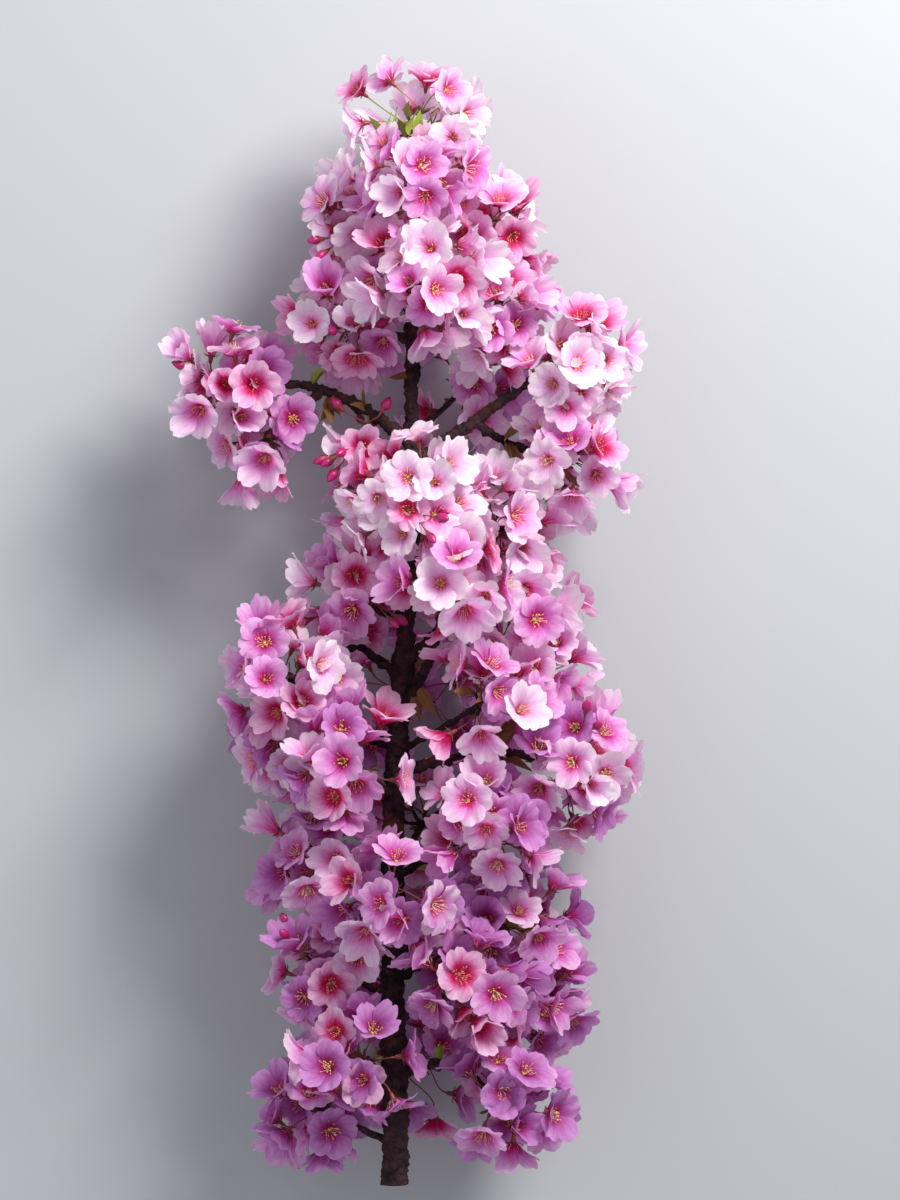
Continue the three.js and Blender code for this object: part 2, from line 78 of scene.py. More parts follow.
# Each mass of blossom: its hub, its radius, and what bears it. sun is how much sunlight is painted into its
# petals: the more, the paler their tints, and the less, the darker and more mauve, as painted shade.
masses = {
    "tip": {"on": "leader", "hub": (14, 681, 2), "radius": 42, "leaves": 2, "sun": 0.95},
    "upper_left": {"hub": (-16, 624, 10), "radius": 40, "sun": 0.6},
    "upper_right": {"hub": (54, 610, -2), "radius": 42, "sun": 0.75},
    "upper_front": {"hub": (14, 646, 46), "radius": 38, "leaves": 1, "sun": 0.5, "moreLeaves": 1},
    "upper_back": {"hub": (12, 640, -44), "radius": 43},
    "heart_left": {"hub": (-24, 558, 4), "radius": 43, "buds": 2, "sun": 0.5, "moreBuds": 3, "moreLeaves": 1},
    "heart_right": {"hub": (62, 560, 4), "radius": 44, "sun": 0.5},
    "heart_front": {"hub": (20, 578, 48), "radius": 44, "sun": 0.5},
    "heart_back": {"hub": (12, 566, -48), "radius": 47},
    "left_arm_up": {"on": "left_arm", "hub": (-104, 512, 4), "radius": 40, "leaves": 2, "sun": 0.35,
                    "moreLeaves": 1, "moreBuds": 2},
    "left_arm_down": {"on": "left_arm", "at": 0.8, "hub": (-86, 478, 0), "radius": 36, "leaves": 1},
    "right_arm_up": {"on": "right_arm", "hub": (110, 524, 8), "radius": 43, "leaves": 1, "sun": 0.85,
                     "moreLeaves": 1},
    "right_arm_down": {"on": "right_fork", "hub": (104, 466, 2), "radius": 44, "leaves": 2, "sun": 0.55,
                       "moreLeaves": 2},
    "skirt_back": {"hub": (40, 508, -46), "radius": 44, "blooms": 7, "buds": 1},
    "bud_spray": {"hub": (-19, 480, 12), "radius": 25, "blooms": 2, "buds": 5, "moreBuds": 4},
    "waist_front": {"hub": (8, 438, 42), "radius": 44, "buds": 1, "sun": 1},
    "waist_right": {"hub": (62, 418, 12), "radius": 45, "sun": 0.9},
    "waist_back": {"hub": (4, 442, -42), "radius": 47},
    "mid_left": {"hub": (-25, 370, 2), "radius": 38, "buds": 1, "sun": 0.4, "moreBuds": 2},
    "mid_front": {"on": "mid_right_spur", "hub": (36, 388, 46), "radius": 42, "sun": 0.6},
    "mid_right": {"on": "mid_right_arm", "hub": (74, 366, 4), "radius": 43, "sun": 0.5},
    "mid_back": {"hub": (14, 376, -48), "radius": 48},
    "side_left": {"on": "mid_left_spur", "hub": (-66, 320, 26), "radius": 45, "sun": 0.45, "moreLeaves": 1},
    "side_left_low": {"on": "low_left_arm", "hub": (-60, 276, -8), "radius": 42, "leaves": 1, "sun": 0.15},
    "side_right": {"on": "low_right_arm", "at": 0.7, "hub": (82, 320, -12), "radius": 44, "leaves": 1, "sun": 0.2,
                   "moreLeaves": 2},
    "side_right_front": {"hub": (56, 304, 36), "radius": 41, "sun": 0.25, "moreLeaves": 2},
    "side_back": {"hub": (8, 308, -50), "radius": 50, "sun": 0.1},
    "low_left_front": {"hub": (-30, 266, 40), "radius": 43, "sun": 0.2},
    "right_arm_end": {"on": "low_right_arm", "hub": (111, 260, 4), "radius": 47, "leaves": 2, "sun": 0.35},
    "low_right_front": {"hub": (56, 222, 34), "radius": 44, "leaves": 2, "sun": 0.08, "moreLeaves": 2},
    "low_left": {"hub": (-44, 204, -2), "radius": 43, "leaves": 1, "sun": 0.02, "moreLeaves": 1},
    "low_back": {"hub": (18, 222, -50), "radius": 50, "sun": 0},
    "low_front": {"hub": (0, 176, 44), "radius": 42, "sun": 0.05},
    "low_right": {"hub": (74, 158, 0), "radius": 45, "leaves": 1, "sun": -0.02, "moreLeaves": 1},
    "foot_left_up": {"hub": (-38, 126, 4), "radius": 43, "buds": 2, "sun": -0.02, "moreBuds": 3},
    "foot_right_front": {"hub": (46, 120, 38), "radius": 43, "sun": -0.05},
    "foot_right": {"on": "foot_right_arm", "hub": (83, 110, -6), "radius": 44, "sun": -0.08},
    "foot_back_up": {"hub": (8, 142, -50), "radius": 50, "blooms": 6, "sun": -0.1},
    "foot_left": {"hub": (-20, 70, 38), "radius": 42, "sun": -0.02},
    "foot_left_out": {"hub": (-47, 36, -4), "radius": 42, "sun": -0.08},
    "foot_right_low": {"on": "foot_right_arm", "hub": (64, 44, 10), "radius": 44, "sun": -0.08},
    "foot_back": {"hub": (8, 64, -48), "radius": 49, "sun": -0.1},
}

growth = {
    "blooms": 8, "choices": 300, "rootward": 0.35, "inward": -0.35, "crowding": 1.0, "enoughRoom": 60,
    "outwardPull": 10, "clearOfNext": 0.4, "clearOfWood": 1, "bareFoot": 3, "coreRadius": 0.57, "twigLean": 0.5,
    "twigBase": 2.6, "twigEnd": 1.9, "nextReach": 40, "seed": 1, "seedStep": 97,
}
woodStep = {"leader": 4, "limb": 0.04, "twig": 0.05, "stalk": 0.2}
bloom = {
    "smallest": 17, "spread": 3, "height": 10, "collarRadius": 2, "stalkRadius": 0.95, "nod": 0.4, "depth": 0.25,
    "rootDepth": 0.28, "pressed": 16,
}
bud = {"radius": 3.8, "height": 13, "reach": 0.62, "size": 0.95, "choices": 40, "seed": 31}
leaf = {"length": 34, "seed": 53, "foot": 6, "smallest": 0.6, "largest": 0.9}

# The finer growth between the big flowers: more, smaller, set deeper and allowed to mingle over the walls.
filling = {
    "blooms": 16, "behind": 6, "backBelow": -20, "choices": 110, "crowding": 0.66, "clearOfNext": -11,
    "inward": -0.6, "skyward": 16, "mingles": True, "smallest": 15.5, "spread": 3.5, "nod": 0.7, "depth": 0.45,
    "within": 0.87, "seed": 5, "seedStep": 89,
    "buds": {"reach": 0.85, "lowest": 0.05, "highest": 0.6, "seed": 7, "seedStep": 83},
    "leaves": {"above": 10, "lowest": 0.2, "seed": 11, "seedStep": 71},
}

# A later, closer growth in the crown and over the waist, where the blossom is thickest.
crown = {
    "masses": ("tip", "upper_left", "upper_right", "upper_front", "heart_left", "heart_right", "heart_front",
               "waist_front", "right_arm_up"),
    "blooms": 5, "crowding": 0.54, "smallest": 14.2, "spread": 2.6, "within": 0.95, "seedStep": 61,
}

# Wood that the finer growth doesn't hide from above: stretches of the leader, and whole limbs.
bareWood = {
    "leader": ((0, 26), (66, 126), (196, 356), (477, 524)),
    "limbs": ("left_arm", "right_arm", "mid_left_spur", "mid_right_spur", "low_right_arm", "foot_right_arm"),
    "along": 5, "share": 0.1, "hidden": 0.66, "leaf": 3, "leafShares": (0.35, 0.8),
}

# Buds that stand clear of the flowers: where their spur starts, which way it points and how many it bears.
budUmbels = (
    {"mass": "bud_spray", "spur": 14, "towards": (-0.55, -0.55, 0.65), "count": 6, "fan": 0.8, "stalk": 19},
    {"mass": "heart_left", "spur": 30, "towards": (-0.35, -0.4, 0.85), "count": 3, "fan": 0.6, "stalk": 20},
    {"mass": "upper_left", "spur": 26, "towards": (-0.7, -0.6, 0.6), "count": 2, "fan": 0.5, "stalk": 20},
    {"mass": "waist_front", "spur": 30, "towards": (0.1, -0.35, 0.9), "count": 2, "fan": 0.6, "stalk": 21},
    {"mass": "mid_left", "spur": 16, "towards": (0.45, 0.1, 0.85), "count": 2, "fan": 0.6, "stalk": 21},
    {"mass": "foot_left_up", "spur": 26, "towards": (-0.8, 0.45, 0.35), "count": 4, "fan": 0.6, "stalk": 22},
    {"mass": "right_arm_end", "spur": 32, "towards": (0.3, 0.7, 0.7), "count": 2, "fan": 0.6, "stalk": 21},
)
umbelRule = {"tries": 60, "covered": 0.75, "shortest": 0.75, "near": 40}

# Flowers that stand alone, at the tip and at the end of the left limb: their rim and which way they face.
loneFlowers = (
    {"mass": "tip", "rim": (-23, 703, 6), "towards": (-0.7, 0.5, 0.5)},
    {"mass": "tip", "rim": (-7, 714, 4), "towards": (-0.25, 0.85, 0.5)},
    {"mass": "tip", "rim": (44, 706, 6), "towards": (0.6, 0.4, 0.7)},
    {"mass": "left_arm_up", "rim": (-137, 530, 8), "towards": (-0.7, 0.35, 0.6)},
    {"mass": "left_arm_up", "rim": (-135, 492, 4), "towards": (-0.6, -0.1, 0.75)},
    {"mass": "left_arm_up", "rim": (-116, 540, 2), "towards": (-0.1, 0.6, 0.75)},
)
loneRule = {"tries": 40, "drift": 0.1, "sway": 0.16, "apart": 0.72, "radius": 16.2, "near": 60, "seed": 31}

# Young leaves in tufts on the wood: where they start, which way they point, how many and how long.
leafTufts = (
    {"on": "left_arm", "at": 0.74, "towards": (0.1, -0.9, 0.35), "count": 4, "size": 0.8},
    {"on": "left_arm", "at": 0.9, "towards": (0.5, 0.7, 0.5), "count": 2, "size": 0.6, "kind": "leavesGreen"},
    {"on": "leader", "at": 522, "towards": (-0.7, -0.65, 0.35), "count": 1, "size": 0.55},
    {"on": "right_fork", "at": 0.85, "towards": (0.25, -0.6, 0.75), "count": 4, "size": 0.8},
    {"on": "leader", "at": 320, "towards": (0.65, 0.75, 0.35), "count": 1, "size": 0.8},
    {"on": "mid_right_spur", "at": 0.45, "towards": (0.45, -0.8, 0.35), "count": 3, "size": 0.8},
    {"on": "low_right_arm", "at": 0.82, "towards": (0.15, 0.7, 0.75), "count": 5, "size": 0.9},
    {"on": "leader", "at": 204, "towards": (0.8, 0.25, 0.55), "count": 3, "size": 0.85, "kind": "leavesGreen"},
    {"on": "foot_right_arm", "at": 0.7, "towards": (0.5, 0.6, 0.6), "count": 2, "size": 0.8,
     "kind": "leavesGreen"},
    {"on": "left_arm", "at": 0.4, "towards": (-0.2, 0.9, 0.5), "count": 2, "size": 0.55},
)
leafRule = {
    "tries": 60, "turn": 0.022, "deep": 12, "above": 3, "covered": 0.85, "lowest": -0.15, "fan": 0.33, "sunk": 1.5,
    "sizes": (0.75, 1.15), "greenOn": ("tip", "right_arm_up", "low_right", "side_left_low", "low_left"),
}
tipFan = {
    "leaves": 9, "from": (9, 675, 14), "spread": 0.5, "apart": 32, "lower": 6, "rise": (0.1, 0.7), "size": 0.55,
    "sizes": (0.9, 1.3),
}

# Clearings where no flower lies in front: under the topmost, over the left limb, by the right spur, at the foot.
clearings = {
    "places": ({"centre": (7, 694), "half": (24, 11)}, {"centre": (-20, 505), "half": (20, 10)},
               {"centre": (38, 309), "half": (14, 6)}, {"centre": (36, 42), "half": (12, 12)}),
    "edge": 4, "share": 0.5, "below": 4,
}

seeds = {"standing": 23, "looks": 41, "leader": 3, "limbs": 20, "twigs": 60, "spurs": 200}


# The branch's rule.

def makeRandom(seed):
    state = seed

    def draw(count):
        nonlocal state
        values = np.empty(count)
        for index in range(count):
            state = state * 16807 % 2147483647
            values[index] = state / 2147483647
        return values

    return draw


def dot(one, other):
    return np.sum(np.asarray(one) * np.asarray(other), axis=-1)


def size(vectors):
    return np.sqrt(dot(vectors, vectors))


def unit(vectors):
    vectors = np.asarray(vectors, float)
    return vectors / size(vectors)[..., None]


def directions(heights, turns):
    height = 2 * heights - 1
    wide = np.sqrt(1 - height * height)
    turn = 2 * math.pi * turns
    return np.stack([wide * np.cos(turn), wide * np.sin(turn), height], axis=-1)


def squareTo(axis):
    reference = np.array([0.0, 1.0, 0.0] if abs(axis[1]) < 0.9 else [1.0, 0.0, 0.0])
    first = unit(np.cross(reference, axis))
    return first, np.cross(axis, first)


def leaderPoint(along):
    sway = leader["sway"] * math.cos(2 * math.pi * (along - leader["swayPeak"]) / leader["swayLength"])
    heave = leader["heave"] * math.sin(2 * math.pi * along / leader["heaveLength"])
    side = leader["offset"] + leader["lean"] * along + sway
    return np.array([side, along, leader["lift"] + heave])


def leaderRadius(along):
    left = max(0, 1 - along / leader["length"]) ** leader["taper"]
    radius = leader["tipRadius"] + (leader["baseRadius"] - leader["tipRadius"]) * left
    for limb in limbs.values():
        if "from" in limb:
            away = (along - limb["from"]) / leader["collarReach"]
            radius += leader["collarSwell"] * math.exp(-away * away)
    return radius


def raised(point):
    return np.array([point[0], point[1], point[2] + leader["lift"]], float)


def limbPoint(limb, share):
    root = limbPoint(limbs[limb["on"]], limb["at"]) if "on" in limb else leaderPoint(limb["from"])
    tip = raised(limb["tip"])
    middle = (root + tip) / 2 + np.array([0, 1, 0]) * limb["bow"] * size(root - tip)
    early = root + (middle - root) * share
    return early + (middle + (tip - middle) * share - early) * share


def limbRadius(limb, share):
    swell = limbShape["rootSwell"] * math.exp(-((share / limbShape["rootReach"]) ** 2))
    return limb["base"] + (limb["end"] - limb["base"]) * share + swell


def woodAt(name, at):
    if name == "leader":
        return leaderPoint(at), leaderRadius(at)
    return limbPoint(limbs[name], at), limbRadius(limbs[name], at)


def twigRoot(mass):
    if "on" in mass:
        return woodAt(mass["on"], leader["length"] if mass["on"] == "leader" else mass.get("at", 1))[0]
    hub = raised(mass["hub"])
    return leaderPoint(hub[1] - growth["twigLean"] * size(hub - leaderPoint(hub[1])))


def steps(first, last, step):
    found = []
    while first <= last:
        found.append(first)
        first += step
    return found


# Balls that stand for all wood, which flowers keep clear of.
def woodPoints():
    found = [(*woodAt("leader", along), None)
             for along in steps(leader["start"], leader["length"], woodStep["leader"])]
    for name in limbs:
        found += [(*woodAt(name, share), None) for share in steps(0, 1, woodStep["limb"])]
    for name, mass in masses.items():
        root = twigRoot(mass)
        found += [(root + (raised(mass["hub"]) - root) * share, growth["twigBase"], name)
                  for share in steps(0, 1, woodStep["twig"])]
    return found


# A flower, or many at once, is a dictionary of arrays.
def reachOf(flower, direction):
    facing = dot(direction, flower["axis"])
    rim = dot(direction, flower["rim"]) + flower["radius"] * np.sqrt(np.maximum(0, 1 - facing * facing))
    return np.maximum(rim, dot(direction, flower["foot"]) + bloom["collarRadius"])


def apart(many, other, share):
    small = {**many, "radius": many["radius"] * share}
    following = {**other, "radius": other["radius"] * share}
    between = following["rim"] - small["rim"]
    between = between / np.maximum(size(between), 1e-9)[..., None]
    free = np.zeros(len(small["rim"]), bool)
    for axis in (between, small["axis"], np.broadcast_to(following["axis"], between.shape)):
        free |= reachOf(small, axis) < -reachOf(following, -axis)
        free |= reachOf(following, axis) < -reachOf(small, -axis)
    return free


def clearOf(one, others, share=1):
    many = {key: np.asarray(one[key])[None] for key in ("foot", "axis", "rim", "radius")}
    return all(apart(many, other, share)[0] for other in others)


def wallsOf(name, hub, clearOfNext):
    radius = masses[name]["radius"]
    walls = [(np.array([0, 0, -1.0]), 0.0), (np.array([0, -1.0, 0]), -growth["bareFoot"])]
    for other, mass in masses.items():
        away = raised(mass["hub"]) - hub
        distance = size(away)
        if other == name or distance > radius + mass["radius"] + bloom["smallest"]:
            continue
        middle = distance / 2 + (radius**2 - mass["radius"] ** 2) / (2 * distance)
        direction = away / distance
        walls.append((direction, dot(direction, hub) + middle - clearOfNext))
    return walls


def plotOf(name, wood):
    mass = masses[name]
    hub = raised(mass["hub"])
    walls = wallsOf(name, hub, growth["clearOfNext"])
    reach = mass["radius"] + 2 * bloom["smallest"]
    near = [(point, radius) for point, radius, twig in wood if twig != name and size(point - hub) < reach]
    core = min([growth["coreRadius"] * mass["radius"]]
               + [limit - dot(direction, hub) for direction, limit in walls]
               + [size(point - hub) - radius - growth["clearOfWood"] for point, radius in near])
    outward = unit(hub - leaderPoint(hub[1] - growth["rootward"] * mass["radius"]))
    return {"mass": mass, "hub": hub, "walls": walls, "core": core, "outward": outward,
            "points": np.array([point for point, _ in near]), "radii": np.array([radius for _, radius in near])}


def drawFlowers(plot, random, count, shape):
    drawn = random(7 * count).reshape(count, 7)
    out = directions(drawn[:, 0], drawn[:, 1])
    turned = directions(drawn[:, 2], drawn[:, 3])
    axis = unit(out + turned * shape["nod"])
    far = plot["mass"]["radius"] * (1 - shape["depth"] * drawn[:, 5] ** 2)
    flower = {
        "out": out, "axis": axis, "radius": shape["smallest"] + shape["spread"] * drawn[:, 4],
        "spin": 2 * math.pi * drawn[:, 6], "root": plot["hub"] + out * plot["core"] * bloom["rootDepth"],
        "rim": plot["hub"] + out * far[:, None],
    }
    flower["foot"] = flower["rim"] - axis * bloom["height"]
    under = reachOf(flower, np.array([0, 0, -1.0]))
    lifted = np.where((under > 0) & (under < bloom["pressed"]), under, 0)
    flower["rim"][:, 2] += lifted
    flower["foot"][:, 2] += lifted
    return flower


def fits(flower, plot):
    good = np.ones(len(flower["rim"]), bool)
    for direction, limit in plot["walls"]:
        good &= reachOf(flower, direction) <= limit
        good &= dot(direction, flower["root"]) <= limit - bloom["stalkRadius"]
    if len(plot["points"]):
        keep = plot["radii"] + growth["clearOfWood"]
        away = plot["points"][None] - flower["rim"][:, None]
        deep = dot(away, flower["axis"][:, None])
        wide = np.sqrt(np.maximum(0, dot(away, away) - deep * deep))
        off = np.maximum(np.maximum(deep, -deep - bloom["height"]), 0)
        good &= (np.hypot(np.maximum(0, wide - flower["radius"][:, None]), off) > keep).all(axis=1)
        for share in steps(0, 1, woodStep["stalk"]):
            at = flower["root"] + (flower["foot"] - flower["root"]) * share
            gap = size(at[:, None] - plot["points"][None])
            good &= (gap >= keep + bloom["stalkRadius"]).all(axis=1)
    return good


def picked(flowers, index):
    return {key: values[index] for key, values in flowers.items()}


def nearTo(point, reach):
    return [each for each in flowers if size(each["rim"] - point) < reach]


def barePoints():
    found = [woodAt("leader", along)
             for stretch in bareWood["leader"] for along in steps(*stretch, bareWood["along"])]
    found += [woodAt(name, share) for name in bareWood["limbs"] for share in steps(0, 1, bareWood["share"])]
    found += [(each["rim"], each["radius"]) for each in umbelBuds]
    found += [(foot + axis * long * leaf["length"] * share, bareWood["leaf"])
              for _, foot, axis, long in tuftLeaves for share in bareWood["leafShares"]]
    return np.array([point for point, _ in found]), np.array([radius for _, radius in found])


# A tuft's leaves fan out round the way it points.
def growTufts(random):
    found = []
    for tuft in leafTufts:
        foot, wide = woodAt(tuft["on"], tuft["at"])
        for _ in range(tuft["count"]):
            axis = unit(unit(tuft["towards"]) + random.normal(size=3) * leafRule["fan"])
            found.append((tuft.get("kind", "leavesBronze"), foot + axis * (wide - leafRule["sunk"]), axis,
                          tuft["size"] * random.uniform(*leafRule["sizes"])))
    return found


def missesFlowers(foot, axis, long):
    points = foot + axis * np.linspace(0.3, 1, 5)[:, None] * long
    away = points[:, None] - rims[None]
    tall = (away * faces[None]).sum(axis=-1)
    wide = size(away - tall[..., None] * faces[None])
    cup = reaches * leafRule["covered"] * np.clip(1 + tall / leafRule["deep"], 0, 1)
    return not ((tall < leafRule["above"]) & (wide < cup)).any()


# A leaf that would pierce a flower turns to the first free way out.
def freeLeaf(random, kind, foot, axis, long):
    for turn in range(leafRule["tries"]):
        turned = unit(axis + random.normal(size=3) * leafRule["turn"] * turn)
        if turned[2] > leafRule["lowest"] and missesFlowers(foot, turned, leaf["length"] * long):
            return kind, foot, turned, long
    return None


# Each umbel's buds take the first free way out of some random ones round its own.
def growUmbels(random):
    found = []
    for order, umbel in enumerate(budUmbels):
        spur = raised(masses[umbel["mass"]]["hub"]) + unit(umbel["towards"]) * umbel["spur"]
        for _ in range(umbel["count"] * umbelRule["tries"]):
            if sum(each["umbel"] == order for each in found) == umbel["count"]:
                break
            axis = unit(unit(umbel["towards"]) + random.normal(size=3) * umbel["fan"])
            foot = spur + axis * umbel["stalk"] * random.uniform(umbelRule["shortest"], 1)
            one = {"foot": foot, "axis": axis, "rim": foot + axis * bud["height"], "radius": bud["radius"],
                   "spin": random.uniform(0, 6.3), "mass": umbel["mass"], "umbel": order, "spur": spur}
            near = nearTo(one["rim"], umbelRule["near"])
            over = any(size((each["rim"] - one["rim"])[:2]) < each["radius"] * umbelRule["covered"]
                       and each["rim"][2] > one["rim"][2] for each in near)
            if not over and clearOf(one, near + found):
                found.append(one)
    return found


# Each lone flower drifts until it is clear of the others, and is left out if it can't be.
def growLone(random):
    found = []
    for lone in loneFlowers:
        hub = raised(masses[lone["mass"]]["hub"])
        near = nearTo(raised(lone["rim"]), loneRule["near"])
        for turn in range(loneRule["tries"]):
            rim = raised(lone["rim"]) + random.normal(size=3) * loneRule["drift"] * turn
            axis = unit(unit(lone["towards"]) + random.normal(size=3) * loneRule["sway"])
            one = {"rim": rim, "axis": axis, "foot": rim - axis * bloom["height"], "radius": loneRule["radius"],
                   "root": hub, "out": unit(rim - hub), "spin": random.uniform(0, 6.3), "mass": lone["mass"]}
            if clearOf(one, near + found, loneRule["apart"]):
                found.append(one)
                break
    return found


def leavesWoodBare(many):
    points, radii = keptBare
    gap = size((many["rim"][:, None] - points[None])[..., :2])
    over = many["rim"][:, None, 2] > points[None, :, 2]
    return ~(over & (gap < many["radius"][:, None] * bareWood["hidden"] + radii[None])).any(axis=1)


def growFlowers(name, plot, seed, count, rule, shape):
    random = makeRandom(seed)
    own = []
    for _ in range(count):
        many = drawFlowers(plot, random, rule["choices"], shape)
        facing = dot(many["out"], plot["outward"])
        good = (facing >= rule["inward"]) & fits(many, plot)
        rivals = list(own)
        if rule.get("mingles"):
            good &= leavesWoodBare(many)
            rivals += nearTo(plot["hub"], plot["mass"]["radius"] + growth["nextReach"])
        for other in rivals:
            good &= apart(many, other, rule["crowding"])
        if not good.any():
            continue
        taken = [other["rim"] for other in flowers + own]
        room = np.full(len(facing), float(growth["enoughRoom"]))
        if taken:
            room = np.minimum(room, size(many["rim"][:, None] - np.array(taken)[None]).min(axis=1))
        room += growth["outwardPull"] * facing + rule.get("skyward", 0) * many["axis"][:, 2]
        own.append(picked(many, int(np.argmax(np.where(good, room, -np.inf)))))
    return [{**each, "mass": name} for each in own]


# Buds and leaves, which stand straight out from the hub.
def growSmall(name, plot, seed, count, length, others, lowest=-1.0, highest=1.0):
    found = []
    if not count:
        return found
    many = drawFlowers(plot, makeRandom(seed), bud["choices"] * count, bloom)
    many["radius"] = np.full(bud["choices"] * count, bud["radius"])
    many["axis"] = many["out"]
    many["foot"] = plot["hub"] + many["out"] * (length - bud["height"])
    many["rim"] = plot["hub"] + many["out"] * length
    good = (dot(many["out"], plot["outward"]) >= growth["inward"]) & fits(many, plot)
    good &= (many["out"][:, 2] > lowest) & (many["out"][:, 2] < highest)
    for index in np.nonzero(good)[0]:
        one = {**picked(many, int(index)), "mass": name}
        if len(found) < count and clearOf(one, others + found):
            found.append(one)
    return found


# A mass as the finer growth takes it, with walls that it may cross.
def fillPlot(name, within):
    return {**plots[name], "walls": wallsOf(name, plots[name]["hub"], filling["clearOfNext"]),
            "mass": {**masses[name], "radius": masses[name]["radius"] * within}}


def inClearing(flower):
    for opening in clearings["places"]:
        away = np.abs(flower["rim"][:2] - opening["centre"])
        across, along = opening["half"]
        if away[0] < across + clearings["edge"] and away[1] < along + flower["radius"] * clearings["share"]:
            return flower["rim"][2] > leader["lift"] - clearings["below"]
    return False


wood = woodPoints()
flowers, budsFound, leavesFound, plots = [], [], [], {}
for order, (name, mass) in enumerate(masses.items(), 1):
    plot = plots[name] = plotOf(name, wood)
    seed = growth["seed"] + growth["seedStep"] * order
    own = growFlowers(name, plot, seed, mass.get("blooms", growth["blooms"]), growth, bloom)
    flowers += own
    long = mass["radius"] * bud["reach"] + bud["height"]
    budsFound += growSmall(name, plot, seed + bud["seed"], mass.get("buds", 0), long, own)
    long = leaf["length"] + plot["core"] / 2
    leavesFound += growSmall(name, plot, seed + leaf["seed"], mass.get("leaves", 0), long, own)
bigCount = len(flowers)
standing = np.random.default_rng(seeds["standing"])
tuftLeaves = growTufts(standing)
umbelBuds = growUmbels(standing)
keptBare = barePoints()
fillRule = {**growth, **filling}
fillShape = {**bloom, **filling}
for order, (name, mass) in enumerate(masses.items(), 1):
    plot = fillPlot(name, filling["within"])
    atFront = mass["hub"][2] > filling["backBelow"]
    count = filling["blooms"] if atFront else filling["behind"]
    count = round(count * mass.get("blooms", growth["blooms"]) / growth["blooms"])
    flowers += growFlowers(name, plot, filling["seed"] + filling["seedStep"] * order, count, fillRule, fillShape)
    if atFront:
        near = nearTo(plot["hub"], mass["radius"] + growth["nextReach"])
        rule = filling["buds"]
        budsFound += growSmall(name, plot, rule["seed"] + rule["seedStep"] * order, mass.get("moreBuds", 0),
                               mass["radius"] * rule["reach"] + bud["height"], near + umbelBuds, rule["lowest"],
                               rule["highest"])
        rule = filling["leaves"]
        leavesFound += growSmall(name, plot, rule["seed"] + rule["seedStep"] * order, mass.get("moreLeaves", 0),
                                 mass["radius"] + rule["above"], near, rule["lowest"])
for order, name in enumerate(crown["masses"], 1):
    flowers += growFlowers(name, fillPlot(name, crown["within"]), crown["seedStep"] * order, crown["blooms"],
                           {**fillRule, "crowding": crown["crowding"]},
                           {**fillShape, "smallest": crown["smallest"], "spread": crown["spread"]})
bigCount = sum(not inClearing(each) for each in flowers[:bigCount])
flowers = [each for each in flowers if not inClearing(each)]
flowers += growLone(np.random.default_rng(loneRule["seed"]))

for lean in np.linspace(-tipFan["spread"], tipFan["spread"], tipFan["leaves"]):
    lower = tipFan["lower"]
    foot = raised(tipFan["from"]) + np.array([lean * tipFan["apart"], -lower * abs(lean),
                                              standing.uniform(-lower, lower)])
    axis = unit([lean, 1, standing.uniform(*tipFan["rise"])])
    tuftLeaves.append(("leavesGreen", foot, axis, tipFan["size"] * standing.uniform(*tipFan["sizes"])))
for each in leavesFound:
    kind = "leavesGreen" if each["mass"] in leafRule["greenOn"] else "leavesBronze"
    tuftLeaves.append((kind, each["root"] + each["out"] * leaf["foot"], each["out"],
                       standing.uniform(leaf["smallest"], leaf["largest"])))
rims, faces, reaches = (np.array([each[key] for each in flowers]) for key in ("rim", "axis", "radius"))
tuftLeaves = [found for found in (freeLeaf(standing, *each) for each in tuftLeaves) if found]
print("flowers:", bigCount, "as the solids have them and", len(flowers) - bigCount, "between;",
      len(budsFound), "buds and", len(umbelBuds), "in umbels,", len(tuftLeaves), "leaves")

mount = next(each for each in frame["record"]["mounts"] if each["name"] == "cut_end")
shift = np.array(mount["pos_m"]) * 1000 - leaderPoint(leader["start"])


def place(points):
    return (np.asarray(points, float) + shift) / 1000


# Meshes and materials.

def meshFrom(name, points, faces, uvs=None, smooth=True):
    mesh = bpy.data.meshes.new(name)
    mesh.from_pydata(np.asarray(points, float).tolist(), [], faces)
    if uvs is not None:
        layer = mesh.uv_layers.new(name="OFBake")
        corners = np.empty(len(mesh.loops), int)
        mesh.loops.foreach_get("vertex_index", corners)
        layer.data.foreach_set("uv", np.asarray(uvs, float)[corners].ravel())
    mesh.polygons.foreach_set("use_smooth", [smooth] * len(mesh.polygons))
    mesh.update()
    return mesh


def objectFrom(name, mesh, *materials):
    made = bpy.data.objects.new(name, mesh)
    bpy.context.scene.collection.objects.link(made)
    for material in materials:
        made.data.materials.append(material)
    return made


def trianglesIn(mesh):
    return sum(len(each.vertices) - 2 for each in mesh.polygons)


def finished(piece, slot, *nodes):
    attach(piece, "root")
    if nodes:
        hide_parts(*nodes)
    return piece


# An output that can be reckoned with, so that a node tree reads as a formula.
class Signal:
    def __init__(self, made, output=0):
        self.tree, self.socket = made.id_data, made.outputs[output]

    def __add__(self, other):
        return reckon("ADD", self, other)

    def __radd__(self, other):
        return reckon("ADD", other, self)

    def __sub__(self, other):
        return reckon("SUBTRACT", self, other)

    def __rsub__(self, other):
        return reckon("SUBTRACT", other, self)

    def __mul__(self, other):
        return reckon("MULTIPLY", self, other)

    def __pow__(self, other):
        return reckon("POWER", self, other)

    def __abs__(self):
        return reckon("ABSOLUTE", self)


def feed(socket, value):
    if isinstance(value, Signal):
        value.tree.links.new(value.socket, socket)
    else:
        socket.default_value = (*value, 1) if socket.type == "RGBA" else value


def addNode(tree, kind, inputs=(), **settings):
    made = tree.nodes.new(kind)
    for label, value in settings.items():
        setattr(made, label, value)
    for label, value in dict(inputs).items():
        feed(made.inputs[label], value)
    return made


